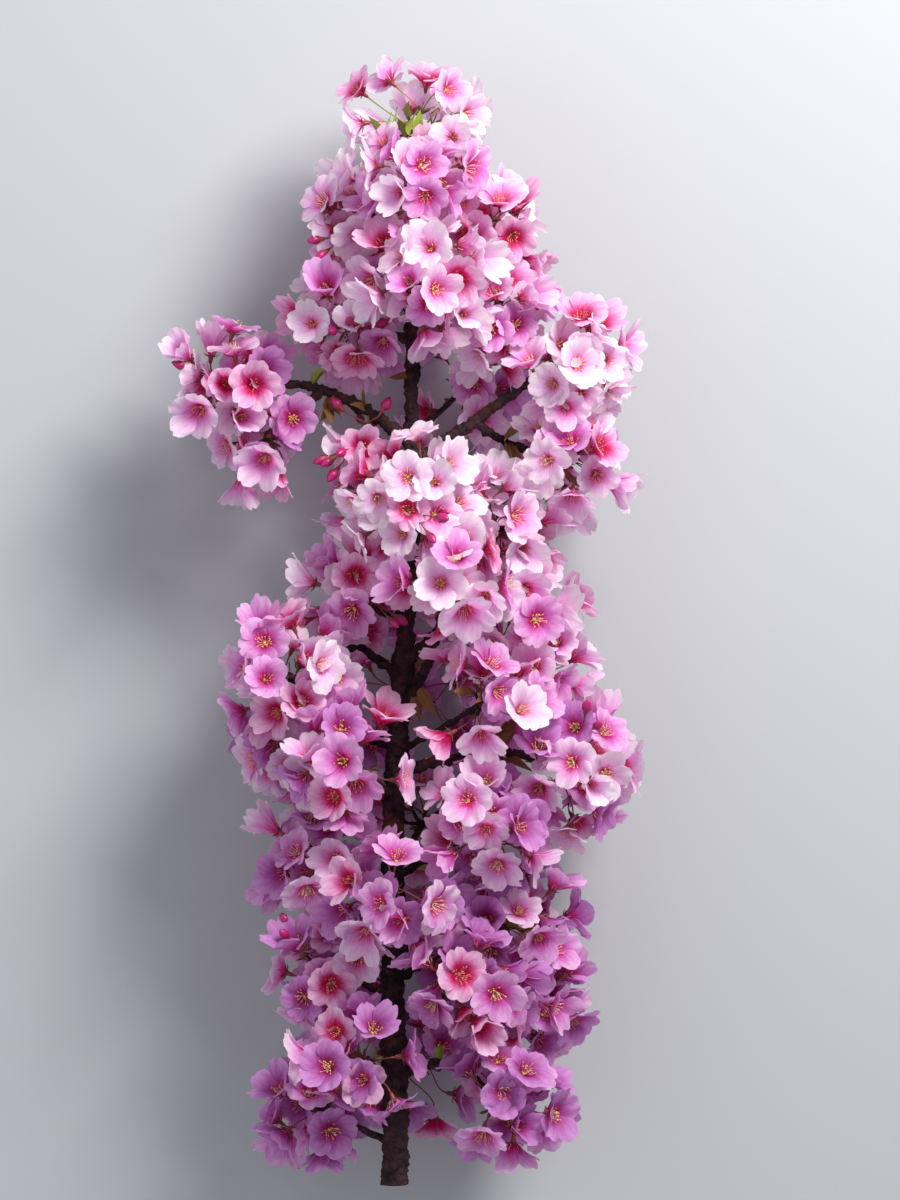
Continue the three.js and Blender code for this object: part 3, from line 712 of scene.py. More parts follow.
def reckon(operation, *values):
    tree = next(each.tree for each in values if isinstance(each, Signal))
    return Signal(addNode(tree, "ShaderNodeMath", enumerate(values), operation=operation))


def noiseOf(vector, scale, detail=3.0, roughness=0.55):
    values = {"Vector": vector, "Scale": scale, "Detail": detail, "Roughness": roughness}
    return Signal(addNode(vector.tree, "ShaderNodeTexNoise", values), "Fac")


def mixed(factor, one, other, how="MIX"):
    values = {"Factor": factor, 6: one, 7: other}  # the two colours have no name of their own
    return Signal(addNode(factor.tree, "ShaderNodeMix", values, data_type="RGBA", blend_type=how), 2)


def ramp(signal, low, high, atLow=0, atHigh=1, kind="LINEAR"):
    values = {"Value": signal, "From Min": low, "From Max": high, "To Min": atLow, "To Max": atHigh}
    return Signal(addNode(signal.tree, "ShaderNodeMapRange", values, interpolation_type=kind), "Result")


def objectSpot(tree):
    return Signal(addNode(tree, "ShaderNodeTexCoord"), "Object")


def pieceUv(tree):
    return Signal(addNode(tree, "ShaderNodeUVMap", uv_map="OFBake"), "UV")


def axesOf(vector):
    made = addNode(vector.tree, "ShaderNodeSeparateXYZ", {"Vector": vector})
    return [Signal(made, label) for label in "XYZ"]


def stretched(along, across):
    return Signal(addNode(along.tree, "ShaderNodeCombineXYZ", {"X": along, "Y": across}), "Vector")


def bumpInto(shader, height, strength, distance):
    values = {"Strength": strength, "Distance": distance, "Height": height}
    feed(shader.inputs["Normal"], Signal(addNode(height.tree, "ShaderNodeBump", values), "Normal"))


def newMaterial(name, roughness):
    material = bpy.data.materials.new(name)
    material.use_nodes = True
    shader = material.node_tree.nodes["Principled BSDF"]
    shader.inputs["Roughness"].default_value = roughness
    return material, material.node_tree, shader


# The ends of a node group: its inputs as signals, and its outputs to feed.
def groupEnds(group, inputs, outputs):
    for direction, sockets in (("INPUT", inputs), ("OUTPUT", outputs)):
        for label, (kind, *start) in sockets.items():
            socket = group.interface.new_socket(name=label, in_out=direction, socket_type="NodeSocket" + kind)
            if start:
                socket.default_value = start[0]
    given = group.nodes.new("NodeGroupInput")
    out = group.nodes.new("NodeGroupOutput")
    return {label: Signal(given, label) for label in inputs}, out.inputs


# An effect gives colour, relief and roughness from three colours and two numbers.
def newEffect(name, colours, numbers):
    group = bpy.data.node_groups.new(name, "ShaderNodeTree")
    inputs = {label: ("Color",) for label in colours}
    inputs.update({label: ("Float", value) for label, value in numbers.items()})
    return group, *groupEnds(group, inputs, {"Color": ("Color",), "Relief": ("Float",), "Roughness": ("Float",)})


def effectMaterial(name, effect, values, roughness, gloss, bump):
    material, tree, shader = newMaterial(name, roughness)
    tint = addNode(tree, "ShaderNodeGroup", values, node_tree=effect)
    feed(shader.inputs["Base Color"], Signal(tint, "Color"))
    feed(shader.inputs["Roughness"], Signal(tint, "Roughness"))
    shader.inputs["Specular IOR Level"].default_value = gloss
    bumpInto(shader, Signal(tint, "Relief"), *bump)
    return material, tree, shader, Signal(tint, "Color")


# Petals: the colour runs from the throat to the edge, with veins that fan out from the foot.
petalSkin = {
    "veinRun": 1.6, "veinPitch": 26, "cloudRun": 2, "cloudPitch": 3, "cloudScale": 1.3, "middleReach": 0.28,
    "flushWander": 0.7, "flush": (-0.17, 0.19), "rimWander": 0.7, "rim": (0.36, 0.98), "veinTop": 0.62,
    "rough": 0.42, "roughClouds": 0.3, "gloss": 0.3, "sheen": 0.12, "sheenRoughness": 0.4, "bump": (0.35, 0.0006),
    "translucent": 0.46,
}


def petalEffect():
    skin = petalSkin
    numbers = {"Throat Reach": 0.3, "Vein Depth": 0.25}
    group, given, out = newEffect("petalBlush", ("Throat", "Body", "Edge"), numbers)
    along, across, _ = axesOf(pieceUv(group))
    veins = noiseOf(stretched(along * skin["veinRun"], across * skin["veinPitch"]), 1, 2, 0.5)
    clouds = noiseOf(stretched(along * skin["cloudRun"], across * skin["cloudPitch"]), skin["cloudScale"], 3, 0.6)
    middle = abs(across - 0.5)
    # The throat's flush reaches further along the middle and along the veins.
    reach = given["Throat Reach"] - middle * skin["middleReach"] + (veins - 0.5) * skin["flushWander"]
    flush = ramp(along - reach, *skin["flush"], 1, 0, "SMOOTHSTEP")
    rimward = ramp(along + (clouds - 0.5) * skin["rimWander"], *skin["rim"], kind="SMOOTHSTEP")
    toned = mixed(flush, mixed(rimward, given["Body"], given["Edge"]), given["Throat"])
    dark = reckon("MAXIMUM", (skin["veinTop"] - veins) * given["Vein Depth"], 0)
    feed(out["Color"], mixed(dark, toned, given["Throat"], "MULTIPLY"))
    feed(out["Relief"], veins * 0.5 + clouds * 0.8)
    feed(out["Roughness"], skin["rough"] + clouds * skin["roughClouds"])
    return group


petalBlush = petalEffect()


def petalMaterial(name, throat, body, edge, reach, veins):
    values = {"Throat": throat, "Body": body, "Edge": edge, "Throat Reach": reach, "Vein Depth": veins}
    skin = petalSkin
    material, tree, shader, colour = effectMaterial(name, petalBlush, values, 0.5, skin["gloss"], skin["bump"])
    shader.inputs["Sheen Weight"].default_value = skin["sheen"]
    shader.inputs["Sheen Roughness"].default_value = skin["sheenRoughness"]
    through = Signal(addNode(tree, "ShaderNodeBsdfTranslucent", {"Color": colour}))
    blend = addNode(tree, "ShaderNodeMixShader", {"Fac": skin["translucent"], 1: Signal(shader), 2: through})
    feed(tree.nodes["Material Output"].inputs["Surface"], Signal(blend))
    return material


# Paler tints go to sunny masses as painted sunlight. The darker pink and mauve tints go to shaded masses as
# painted shade.
petalTints = {
    "petalsPale": {"throat": (0.78, 0.04, 0.3), "body": (0.94, 0.64, 0.92), "edge": (0.99, 0.96, 0.99),
                   "reach": 0.25, "veins": 0.45},
    "petalsBlush": {"throat": (0.76, 0.025, 0.25), "body": (0.88, 0.38, 0.78), "edge": (0.97, 0.84, 0.98),
                    "reach": 0.32, "veins": 0.55},
    "petalsPink": {"throat": (0.6, 0.01, 0.18), "body": (0.73, 0.18, 0.61), "edge": (0.92, 0.58, 0.92),
                   "reach": 0.34, "veins": 0.65},
    "petalsMauve": {"throat": (0.46, 0.01, 0.16), "body": (0.53, 0.115, 0.46), "edge": (0.74, 0.37, 0.77),
                    "reach": 0.34, "veins": 0.6},
    "petalsRose": {"throat": (0.6, 0.005, 0.1), "body": (0.79, 0.17, 0.5), "edge": (0.97, 0.68, 0.9),
                   "reach": 0.46, "veins": 0.7},
}
petalMaterials = {name: petalMaterial(name, **tint) for name, tint in petalTints.items()}


def softMaterial(name, colour, roughness, mottle, scale, sheen=0.0):
    material, tree, shader = newMaterial(name, roughness)
    spots = noiseOf(objectSpot(tree), scale)
    feed(shader.inputs["Base Color"], mixed(spots, colour, mottle))
    shader.inputs["Sheen Weight"].default_value = sheen
    bumpInto(shader, spots, 0.3, 0.0004)
    return material


filamentPale = softMaterial("filamentPale", (0.93, 0.72, 0.76), 0.5, (0.88, 0.5, 0.6), 160)
filamentRose = softMaterial("filamentRose", (0.8, 0.2, 0.32), 0.5, (0.88, 0.42, 0.5), 160)
antherGold = softMaterial("antherGold", (0.93, 0.64, 0.1), 0.75, (0.78, 0.42, 0.03), 300)
antherRust = softMaterial("antherRust", (0.6, 0.2, 0.04), 0.8, (0.78, 0.4, 0.07), 300)
calyxSkin = softMaterial("calyxSkin", (0.3, 0.016, 0.055), 0.5, (0.2, 0.06, 0.025), 90, 0.1)
stalkSkin = softMaterial("stalkSkin", (0.17, 0.075, 0.03), 0.5, (0.25, 0.03, 0.045), 60, 0.1)
stalkGreen = softMaterial("stalkGreen", (0.26, 0.34, 0.05), 0.5, (0.3, 0.13, 0.04), 60, 0.1)
budSkin = softMaterial("budSkin", (0.33, 0.003, 0.09), 0.36, (0.5, 0.015, 0.17), 120)
scaleSkin = softMaterial("scaleSkin", (0.16, 0.07, 0.02), 0.7, (0.08, 0.09, 0.02), 110)


# Faces of a grid of points and of rings of points, row by row.
def gridFaces(rows, columns, flipped=False):
    faces = []
    for row in range(rows):
        for column in range(columns):
            corner = row * (columns + 1) + column
            face = (corner, corner + columns + 1, corner + columns + 2, corner + 1)
            faces.append(face[:1] + face[:0:-1] if flipped else face)
    return faces


def ringFaces(rows, sides):
    faces = []
    for row in range(rows):
        for side in range(sides):
            here, after = row * sides + side, row * sides + (side + 1) % sides
            faces.append((here, after, after + sides, here + sides))
    return faces


# Rings round a path with no twist between them: which way their points face, and the points.
def ringsAlong(path, tangents, radii, sides):
    turns = 2 * math.pi * np.arange(sides) / sides
    first = squareTo(tangents[0])[0]
    normals = []
    for tangent in tangents:
        first = unit(first - tangent * dot(first, tangent))
        second = np.cross(tangent, first)
        normals.append(np.cos(turns)[:, None] * first + np.sin(turns)[:, None] * second)
    normals = np.array(normals)
    return normals, path[:, None] + np.asarray(radii, float)[:, None, None] * normals


def tubeAlong(path, radii, sides):
    path = np.asarray(path, float)
    points = ringsAlong(path, unit(np.gradient(path, axis=0)), radii, sides)[1]
    last = (len(path) - 1) * sides
    faces = ringFaces(len(path) - 1, sides)
    faces += [tuple(range(sides - 1, -1, -1)), tuple(range(last, last + sides))]
    return points.reshape(-1, 3), faces


def uprightTube(heights, radii, sides=6):
    return tubeAlong([(0, 0, height) for height in heights], radii, sides)


def turnedRound(points, turn):
    points = np.asarray(points, float)
    cos, sin = math.cos(turn), math.sin(turn)
    return np.stack([points[:, 0] * cos - points[:, 1] * sin, points[:, 0] * sin + points[:, 1] * cos,
                     points[:, 2]], axis=-1)


def joined(parts):
    points, faces, uvs, start = [], [], [], 0
    for part in parts:
        points.append(np.asarray(part[0], float))
        faces += [tuple(corner + start for corner in face) for face in part[1]]
        if len(part) > 2:
            uvs += list(part[2])
        start += len(part[0])
    return np.concatenate(points), faces, uvs or None


# Blossom: five notched petals round a throat, with stamens and a calyx. Sizes are in millimetres for a flower
# of the given reach, and each is scaled to its own place. A form is how steeply its petals leave the throat and
# end, and how deep they dish.
flowerShape = {
    "reach": 16.5, "throatRadius": 1.5, "throatHeight": 4.4, "petalHalfWidth": (0.46, 0.535), "widestAt": 0.58,
    "claw": 0.15, "clawCurve": 1.15, "notch": 0.08, "notchWidth": 0.14, "teeth": 0.026, "ruffle": 0.75,
    "rows": 5, "columns": 10, "rowCurve": 0.8, "steps": 24, "leastRun": 0.62, "stamens": 8, "calyces": 4,
    "notchDepths": (0.5, 1.5), "curl": (-0.4, 1), "waves": (2, 3.6), "bendCurve": 0.8, "liftSwing": 8,
    "openSwing": 13, "spoons": (0.6, 1.3), "twist": (0.06, 0.24), "widths": (0.95, 1.05), "lengths": (0.92, 1.03),
    "turnSwing": 0.08,
}
forms = [(56, 16, 0.2), (60, 22, 0.26), (48, 8, 0.16), (62, 28, 0.24), (54, 18, 0.3), (64, 34, 0.3),
         (46, 6, 0.2), (58, 24, 0.14), (52, 2, 0.24), (70, 46, 0.36), (50, 14, 0.16), (62, 30, 0.2),
         (74, 58, 0.42), (48, 4, 0.26)]


def petalPoints(random, lift, opened, spoon, twist, halfWidth):
    shape = flowerShape
    rows, columns = shape["rows"], shape["columns"]
    length = shape["reach"] - shape["throatRadius"]
    across = np.linspace(-1, 1, columns + 1)
    tip = shape["widestAt"] + (1 - shape["widestAt"]) * np.sqrt(np.maximum(0, 1 - across**2))
    notch = shape["notch"] * np.exp(-((across / shape["notchWidth"]) ** 2))
    tip -= notch * random.uniform(*shape["notchDepths"])
    tip += shape["teeth"] * random.uniform(-1, 1, columns + 1)
    curl = random.uniform(*shape["curl"])
    phase, waves = random.uniform(0, 6.3), random.uniform(*shape["waves"])
    bend = np.linspace(0, 1, shape["steps"] + 1)
    angles = np.radians(lift + (opened - lift) * bend ** shape["bendCurve"])
    middles = (angles[1:] + angles[:-1]) / 2
    runs = np.concatenate([[0], np.cumsum(np.cos(middles) / shape["steps"])])
    climbs = np.concatenate([[0], np.cumsum(np.sin(middles) / shape["steps"])])
    stretch = 1 / max(shape["leastRun"], runs[-1])  # a flower that opens less reaches less far
    points, uvs = [], []
    for row in range(rows + 1):
        share = (row / rows) ** shape["rowCurve"]
        flare = math.sin(math.pi / 2 * share) ** shape["clawCurve"]
        width = halfWidth * shape["reach"] * (shape["claw"] + (1 - shape["claw"]) * flare)
        for column, side in enumerate(across):
            way = share * tip[column]
            run = np.interp(way, bend, runs) * length * stretch
            climb = np.interp(way, bend, climbs) * length * stretch
            dish = spoon * side * side * width * math.sin(math.pi * min(1, share * 1.05)) ** 0.7
            edge = curl * share**5 * abs(side) ** 1.5
            wave = shape["ruffle"] * share**2.5 * math.sin(waves * side * 2 + phase)
            points.append((shape["throatRadius"] + run, side * width,
                           shape["throatHeight"] + climb + dish - edge + wave + twist * side * width))
            uvs.append((share, 0.5 + side / 2))
    return np.array(points), gridFaces(rows, columns), uvs


def petalsShape(random, lift, opened, spoon):
    parts, shape = [], flowerShape
    halfWidth = random.uniform(*shape["petalHalfWidth"])
    for petal in range(5):
        points, faces, uvs = petalPoints(
            random, lift + random.uniform(-shape["liftSwing"], shape["liftSwing"]),
            opened + random.uniform(-shape["openSwing"], shape["openSwing"]),
            spoon * random.uniform(*shape["spoons"]), random.uniform(*shape["twist"]),
            halfWidth * random.uniform(*shape["widths"]),
        )
        points[:, 0:2] *= random.uniform(*shape["lengths"])
        turn = 2 * math.pi * petal / 5 + random.uniform(-shape["turnSwing"], shape["turnSwing"])
        parts.append((turnedRound(points, turn), faces, uvs))
    return joined(parts)


stamenShape = {
    "count": 22, "few": 11, "shortest": 4.4, "longest": 8.6, "width": 0.14, "anther": 0.58, "base": 3.7,
    "ringRadius": 0.7, "cupHeights": (3.6, 4.5, 4.75), "cupRadii": (1.05, 1.05, 0.4725), "open": 56,
    "closed": 38, "drooping": 50, "turnSwing": 0.35, "leans": (0.1, 1), "bends": (1.3, 0.75), "sizes": (0.8, 1.25),
    "taper": (1.3, 1, 0.8), "rounds": 3,
}
antherCorners = np.array([(1, 0, 0), (0, 0.75, 0), (-1, 0, 0), (0, -0.75, 0), (0, 0, 0.7), (0, 0, -0.7)])
antherFaces = [(0, 1, 4), (1, 2, 4), (2, 3, 4), (3, 0, 4), (1, 0, 5), (2, 1, 5), (3, 2, 5), (0, 3, 5)]


def stamensShape(random, spread, count):
    filaments, anthers, shape = [], [], stamenShape
    up = np.array([0, 0, 1.0])
    for index in range(count):
        swing = random.uniform(-shape["turnSwing"], shape["turnSwing"])
        turn = 2 * math.pi * (index + swing) / count * shape["rounds"]
        lean = math.radians(spread * random.uniform(*shape["leans"]))
        length = random.uniform(shape["shortest"], shape["longest"])
        out = np.array([math.cos(turn), math.sin(turn), 0])
        path = [out * shape["ringRadius"] + up * shape["base"]]
        for bend in shape["bends"]:
            path.append(path[-1] + (out * math.sin(lean * bend) + up * math.cos(lean * bend)) * length * 0.5)
        filaments.append(tubeAlong(path, [shape["width"] * share for share in shape["taper"]], 3))
        ball = antherCorners * shape["anther"] * random.uniform(*shape["sizes"])
        anthers.append((turnedRound(ball, random.uniform(0, 6.3)) + path[-1], antherFaces))
    anthers.append(uprightTube(shape["cupHeights"], shape["cupRadii"]))  # the cup that they stand in
    return joined(filaments), joined(anthers)


calyxForm = {"heights": (-0.6, 0.5, 2.4, 4.3, 4.5), "radii": (0.75, 1.25, 1.45, 1.9, 1.2), "drop": (-0.8, 1.4)}


def calyxShape(random):
    parts = [uprightTube(calyxForm["heights"], calyxForm["radii"])]
    for sepal in range(5):
        drop = random.uniform(*calyxForm["drop"])
        points = [(1.5, -1.1, 4.0), (1.5, 1.1, 4.0), (3.6, 1.25, 4.6 + drop * 0.3),
                  (3.6, -1.25, 4.6 + drop * 0.3), (6.1, 0, 5.3 + drop), (1.5, 0, 3.5), (3.6, 0, 4.0 + drop * 0.3)]
        faces = [(0, 5, 6, 3), (5, 1, 2, 6), (3, 6, 4), (6, 2, 4)]
        parts.append((turnedRound(points, 2 * math.pi * (sepal + 0.5) / 5), faces))
    return joined(parts)


budForm = {
    "length": (9.0, 11.5), "wide": (3.0, 3.9), "rows": 8, "foot": 2.6, "twist": 0.12, "ridge": 0.06,
    "cupHeights": (-0.6, 0.6, 2.6, 4.4), "cupRadii": (0.7, 1.3, 1.7, 2.3),
}


def budShape(random):
    length, wide = random.uniform(*budForm["length"]), random.uniform(*budForm["wide"])
    shares = np.linspace(0.02, 0.98, budForm["rows"])
    radii = [wide * math.sin(math.pi * share ** 0.8) ** 0.75 for share in shares]
    points, faces = uprightTube(shares * length + budForm["foot"], radii, 8)
    turn = np.arctan2(points[:, 1], points[:, 0]) + points[:, 2] * budForm["twist"]
    points[:, 0:2] *= (1 + budForm["ridge"] * np.cos(5 * turn))[:, None]
    return points, faces


def budCupShape():
    parts = [uprightTube(budForm["cupHeights"], budForm["cupRadii"])]
    points = [(1.9, -1.2, 3.8), (1.9, 1.2, 3.8), (3.0, 1.0, 5.8), (3.0, -1.0, 5.8), (3.4, 0, 8.2), (2.2, 0, 3.8),
              (3.3, 0, 5.8)]
    faces = [(5, 0, 3, 6), (1, 5, 6, 2), (6, 3, 4), (2, 6, 4)]
    parts += [(turnedRound(points, 2 * math.pi * sepal / 5), faces) for sepal in range(5)]
    return joined(parts)


# A young leaf, folded along its midrib, with a drooping tip and a toothed edge.
leafForm = {
    "rows": 9, "columns": 4, "length": (26, 33), "half": (5.0, 6.5), "fold": (0.12, 0.5), "droop": (0.2, 1.2),
    "foot": 0.1, "tooth": 0.05, "gap": -0.03, "wave": 0.7,
}


def leafShape(random):
    shape = leafForm
    length, half = random.uniform(*shape["length"]), random.uniform(*shape["half"])
    fold, droop, phase = random.uniform(*shape["fold"]), random.uniform(*shape["droop"]), random.uniform(0, 6.3)
    points, uvs = [], []
    for row in range(shape["rows"] + 1):
        share = row / shape["rows"]
        wide = half * (shape["foot"] + (1 - shape["foot"]) * math.sin(math.pi * share ** 0.85) ** 0.8)
        wide *= (1 - share ** 6) * (1 + shape["tooth" if row % 2 else "gap"])
        for column in range(shape["columns"] + 1):
            side = 2 * column / shape["columns"] - 1
            sag = -droop * share ** 2 * length * 0.3 + abs(side) * wide * fold
            points.append((side * wide, sag + shape["wave"] * math.sin(9 * share + phase) * side, share * length))
            uvs.append((share, column / shape["columns"]))
    return np.array(points), gridFaces(shape["rows"], shape["columns"], flipped=True), uvs


scaleForm = {"length": (4, 7.5), "half": (1, 1.6), "lean": (0.5, 1.1), "swing": 0.3, "count": 4}


def budScaleShape(random):
    parts, shape = [], scaleForm
    for scale in range(shape["count"]):
        length, half = random.uniform(*shape["length"]), random.uniform(*shape["half"])
        lean = random.uniform(*shape["lean"])
        points = []
        for share, wide in ((0, 0.5), (0.4, 1.0), (0.8, 0.75), (1, 0.12)):
            run = 1.1 + math.sin(lean) * share * length
            up = -1 + math.cos(lean) * share * length
            points += [(run, -half * wide, up + 0.3), (run + 0.4, 0, up), (run, half * wide, up + 0.3)]
        turn = 2 * math.pi * (scale + random.uniform(-shape["swing"], shape["swing"])) / shape["count"]
        parts.append((turnedRound(points, turn), gridFaces(3, 2)))
    return joined(parts)


# Geometry Nodes: shapes of a collection, set on points that carry a turn, a size and which shape they take.
def scatterTree():
    tree = bpy.data.node_groups.new("shapesOnPoints", "GeometryNodeTree")
    tree.is_modifier = True
    inputs = {"Points": ("Geometry",), "Shapes": ("Collection",), "Overall Size": ("Float", 1),
              "Finish": ("Material",)}
    given, out = groupEnds(tree, inputs, {"Shapes Set": ("Geometry",)})
    turn, scale, shape = (
        Signal(addNode(tree, "GeometryNodeInputNamedAttribute", {"Name": label}, data_type=kind), "Attribute")
        for label, kind in (("turn", "QUATERNION"), ("size", "FLOAT"), ("shape", "INT")))
    shapes = addNode(tree, "GeometryNodeCollectionInfo", {
        "Collection": given["Shapes"], "Separate Children": True, "Reset Children": True})
    onPoints = addNode(tree, "GeometryNodeInstanceOnPoints", {
        "Points": given["Points"], "Instance": Signal(shapes), "Pick Instance": True, "Instance Index": shape,
        "Rotation": turn, "Scale": scale * given["Overall Size"]})
    realized = addNode(tree, "GeometryNodeRealizeInstances", {"Geometry": Signal(onPoints)})
    finish = addNode(tree, "GeometryNodeSetMaterial", {
        "Geometry": Signal(realized), "Material": given["Finish"]})
    feed(out["Shapes Set"], Signal(finish))
    return tree


shapesOnPoints = scatterTree()


def shapesCollection(name, shapes):
    kept = bpy.data.collections.new(name)
    for index, (points, faces, *uvs) in enumerate(shapes):
        mesh = meshFrom(f"{name}{index:02d}", points, faces, uvs[0] if uvs else None)
        kept.objects.link(bpy.data.objects.new(f"{name}{index:02d}", mesh))
    return kept


# The three directions of a shape that is set along an axis; its x axis points along the spin.
def settingOf(axis, spin):
    first, second = squareTo(axis)
    sideways = first * math.cos(spin) + second * math.sin(spin)
    return np.stack([sideways, np.cross(axis, sideways), axis])


# spots are (foot, axis, spin, size, shape).
def scatter(name, shapes, spots, material):
    mesh = bpy.data.meshes.new(name + "Points")
    mesh.from_pydata([place(spot[0]).tolist() for spot in spots], [], [])
    turns = [value for spot in spots for value in Matrix(settingOf(spot[1], spot[2]).T).to_quaternion()]
    carried = (("turn", "QUATERNION", turns), ("size", "FLOAT", [spot[3] for spot in spots]),
               ("shape", "INT", [spot[4] for spot in spots]))
    for label, kind, values in carried:
        mesh.attributes.new(label, kind, "POINT").data.foreach_set("value", values)
    points = objectFrom(name + "Points", mesh)
    modifier = points.modifiers.new("shapes", "NODES")
    modifier.node_group = shapesOnPoints
    sockets = {item.name: item.identifier for item in shapesOnPoints.interface.items_tree
               if item.in_out == "INPUT"}
    for label, value in (("Shapes", shapes), ("Overall Size", 0.001), ("Finish", material)):
        modifier[sockets[label]] = value
    bpy.context.view_layer.update()
    made = bpy.data.meshes.new_from_object(points.evaluated_get(bpy.context.evaluated_depsgraph_get()))
    made.name = name
    points.modifiers.remove(modifier)
    for label, _, _ in carried:
        if label in made.attributes:
            made.attributes.remove(made.attributes[label])
    bpy.data.objects.remove(points)
    print(name, "has", len(spots), "shapes and", trianglesIn(made), "triangles")
    return objectFrom(name, made)


random = np.random.default_rng(seeds["looks"])
petalShapes = shapesCollection("petalForm", [petalsShape(random, *form) for form in forms])
openCount = flowerShape["stamens"]
spreads = [stamenShape["open" if index % 3 else "closed"] for index in range(openCount)]
stamenPairs = [stamensShape(random, spread, stamenShape["count"]) for spread in spreads]
stamenPairs += [stamensShape(random, stamenShape["drooping"], stamenShape["few"]) for _ in range(2)]
filamentShapes = shapesCollection("filamentForm", [pair[0][:2] for pair in stamenPairs])
antherShapes = shapesCollection("antherForm", [pair[1][:2] for pair in stamenPairs])
calyxShapes = shapesCollection("calyxForm", [calyxShape(random)[:2] for _ in range(flowerShape["calyces"])])
budShapes = shapesCollection("budForm", [budShape(random) for _ in range(4)])
budCupShapes = shapesCollection("budCupForm", [budCupShape()[:2]])
leafShapes = shapesCollection("leafForm", [leafShape(random) for _ in range(6)])
scaleShapes = shapesCollection("scaleForm", [budScaleShape(random)[:2] for _ in range(4)])

# Which form and tint each flower takes: the more sun its mass has, the paler its tint, as painted sunlight, and
# the less, the darker pink and mauve, as painted shade.
dealing = {
    "shade": 0.3, "swing": 0.45, "rose": 0.1, "roseBySun": 0.15, "old": 0.1, "closedLift": 30, "opens": 0.6,
    "openForms": 9, "faceDown": -0.1, "clearance": 0.4,
    "tints": ((0.62, "petalsPale"), (0.3, "petalsBlush"), (0.02, "petalsPink"), (-math.inf, "petalsMauve")),
}
for index, flower in enumerate(flowers):
    sun = masses[flower["mass"]].get("sun", dealing["shade"])
    mood = random.random()
    # The sun of its mass paints sunlight or shade into the flower's tint, with a random swing for the flowers' own
    # spread of tints.
    score = sun + random.uniform(-dealing["swing"], dealing["swing"])
    flower["tint"] = next(name for least, name in dealing["tints"] if score > least)
    if mood < dealing["rose"] + dealing["roseBySun"] * sun:
        flower["tint"] = "petalsRose"
    flower["form"] = int(random.integers(len(forms)))
    closed = index < bigCount and forms[flower["form"]][1] > dealing["closedLift"]
    if closed and random.random() < dealing["opens"]:
        flower["form"] = int(random.integers(dealing["openForms"]))
    flower["scale"] = flower["radius"] / flowerShape["reach"]
    flower["old"] = flower["tint"] == "petalsRose" or random.random() < dealing["old"]
    flower["stamens"] = index % openCount if flower["axis"][2] > dealing["faceDown"] else openCount + index % 2

# A flower near the ground is raised until its lowest petal clears it.
formPoints = [np.array([corner.co for corner in shape.data.vertices]) for shape in petalShapes.objects]
raisedCount = 0
for flower in flowers:
    heights = (formPoints[flower["form"]] @ settingOf(flower["axis"], flower["spin"]))[:, 2] * flower["scale"]
    short = dealing["clearance"] - heights.min() - flower["foot"][2] - shift[2]
    if short > 0:
        flower["foot"] = flower["foot"] + np.array([0, 0, short])
        raisedCount += 1
print("flowers raised off the ground:", raisedCount)


def spotsOf(chosen, kind, kinds):
    return [(each["foot"], each["axis"], each["spin"], each["scale"], each[kind] % kinds) for each in chosen]


# The petals of each tint stand for a share of the masses, dealt in turn.
petalPieces = []
for name, material in petalMaterials.items():
    chosen = [each for each in flowers if each["tint"] == name]
    petalPieces.append(scatter(name, petalShapes, spotsOf(chosen, "form", len(forms)), material))
for name, shapes, material, old in (
        ("filamentsPale", filamentShapes, filamentPale, False),
        ("filamentsRose", filamentShapes, filamentRose, True),
        ("anthersGold", antherShapes, antherGold, False), ("anthersRust", antherShapes, antherRust, True)):
    chosen = [each for each in flowers if each["old"] == old]
    finished(scatter(name, shapes, spotsOf(chosen, "stamens", len(stamenPairs)), material), "blossom")
spots = spotsOf(flowers, "stamens", flowerShape["calyces"])
finished(scatter("calyces", calyxShapes, spots, calyxSkin), "blossom")
for index, piece in enumerate(petalPieces):
    finished(piece, "blossom", *["blossom_" + name for name in list(masses)[index::len(petalPieces)]])

# Sprays: flowers of a mass gather in threes and fours on a short spur, and stalks fan out from its end.
sprayShape = {
    "most": 4, "within": 36, "stalkRun": 17, "least": 7, "spurRadius": 1.7, "spurEnd": 1.25, "points": 9,
    "wander": 0.12, "knob": 1.15, "stalkRadii": (0.6, 0.5, 0.46, 0.45, 0.46, 0.52, 0.7), "stalkSides": 5,
    "widths": (0.9, 1.15), "scales": (0.8, 1.15), "sunk": 0.3, "spurBends": (0.35, 0.7), "late": 0.6,
    "stalkBends": (0.35, 0.4), "onward": 0.6, "green": ("tip", "upper_front", "upper_right", "right_arm_up"),
}


def spraysOf(name):
    hub = plots[name]["hub"]
    left = [each for each in flowers + budsFound if each["mass"] == name]
    sprays = []
    while left:
        seedFlower = left.pop(0)
        left.sort(key=lambda each: size(each["foot"] - seedFlower["foot"]))
        near = [each for each in left if size(each["foot"] - seedFlower["foot"]) < sprayShape["within"]]
        members = [seedFlower] + near[: sprayShape["most"] - 1]
        left = left[len(members) - 1:]
        away = np.mean([each["foot"] for each in members], axis=0) - hub
        nearest = min(size(each["foot"] - hub) for each in members)
        far = max(sprayShape["least"], nearest - sprayShape["stalkRun"])
        sprays.append((hub + unit(away) * min(far, size(away)), members))
    for order in range(len(budUmbels)):
        members = [each for each in umbelBuds if each["umbel"] == order and each["mass"] == name]
        if members:
            sprays.append((members[0]["spur"], members))
    return sprays


def curveBetween(start, early, late, end, count):
    shares = np.linspace(0, 1, count)[:, None]
    return ((1 - shares) ** 3 * start + 3 * shares * (1 - shares) ** 2 * early
            + 3 * shares**2 * (1 - shares) * late + shares**3 * end)


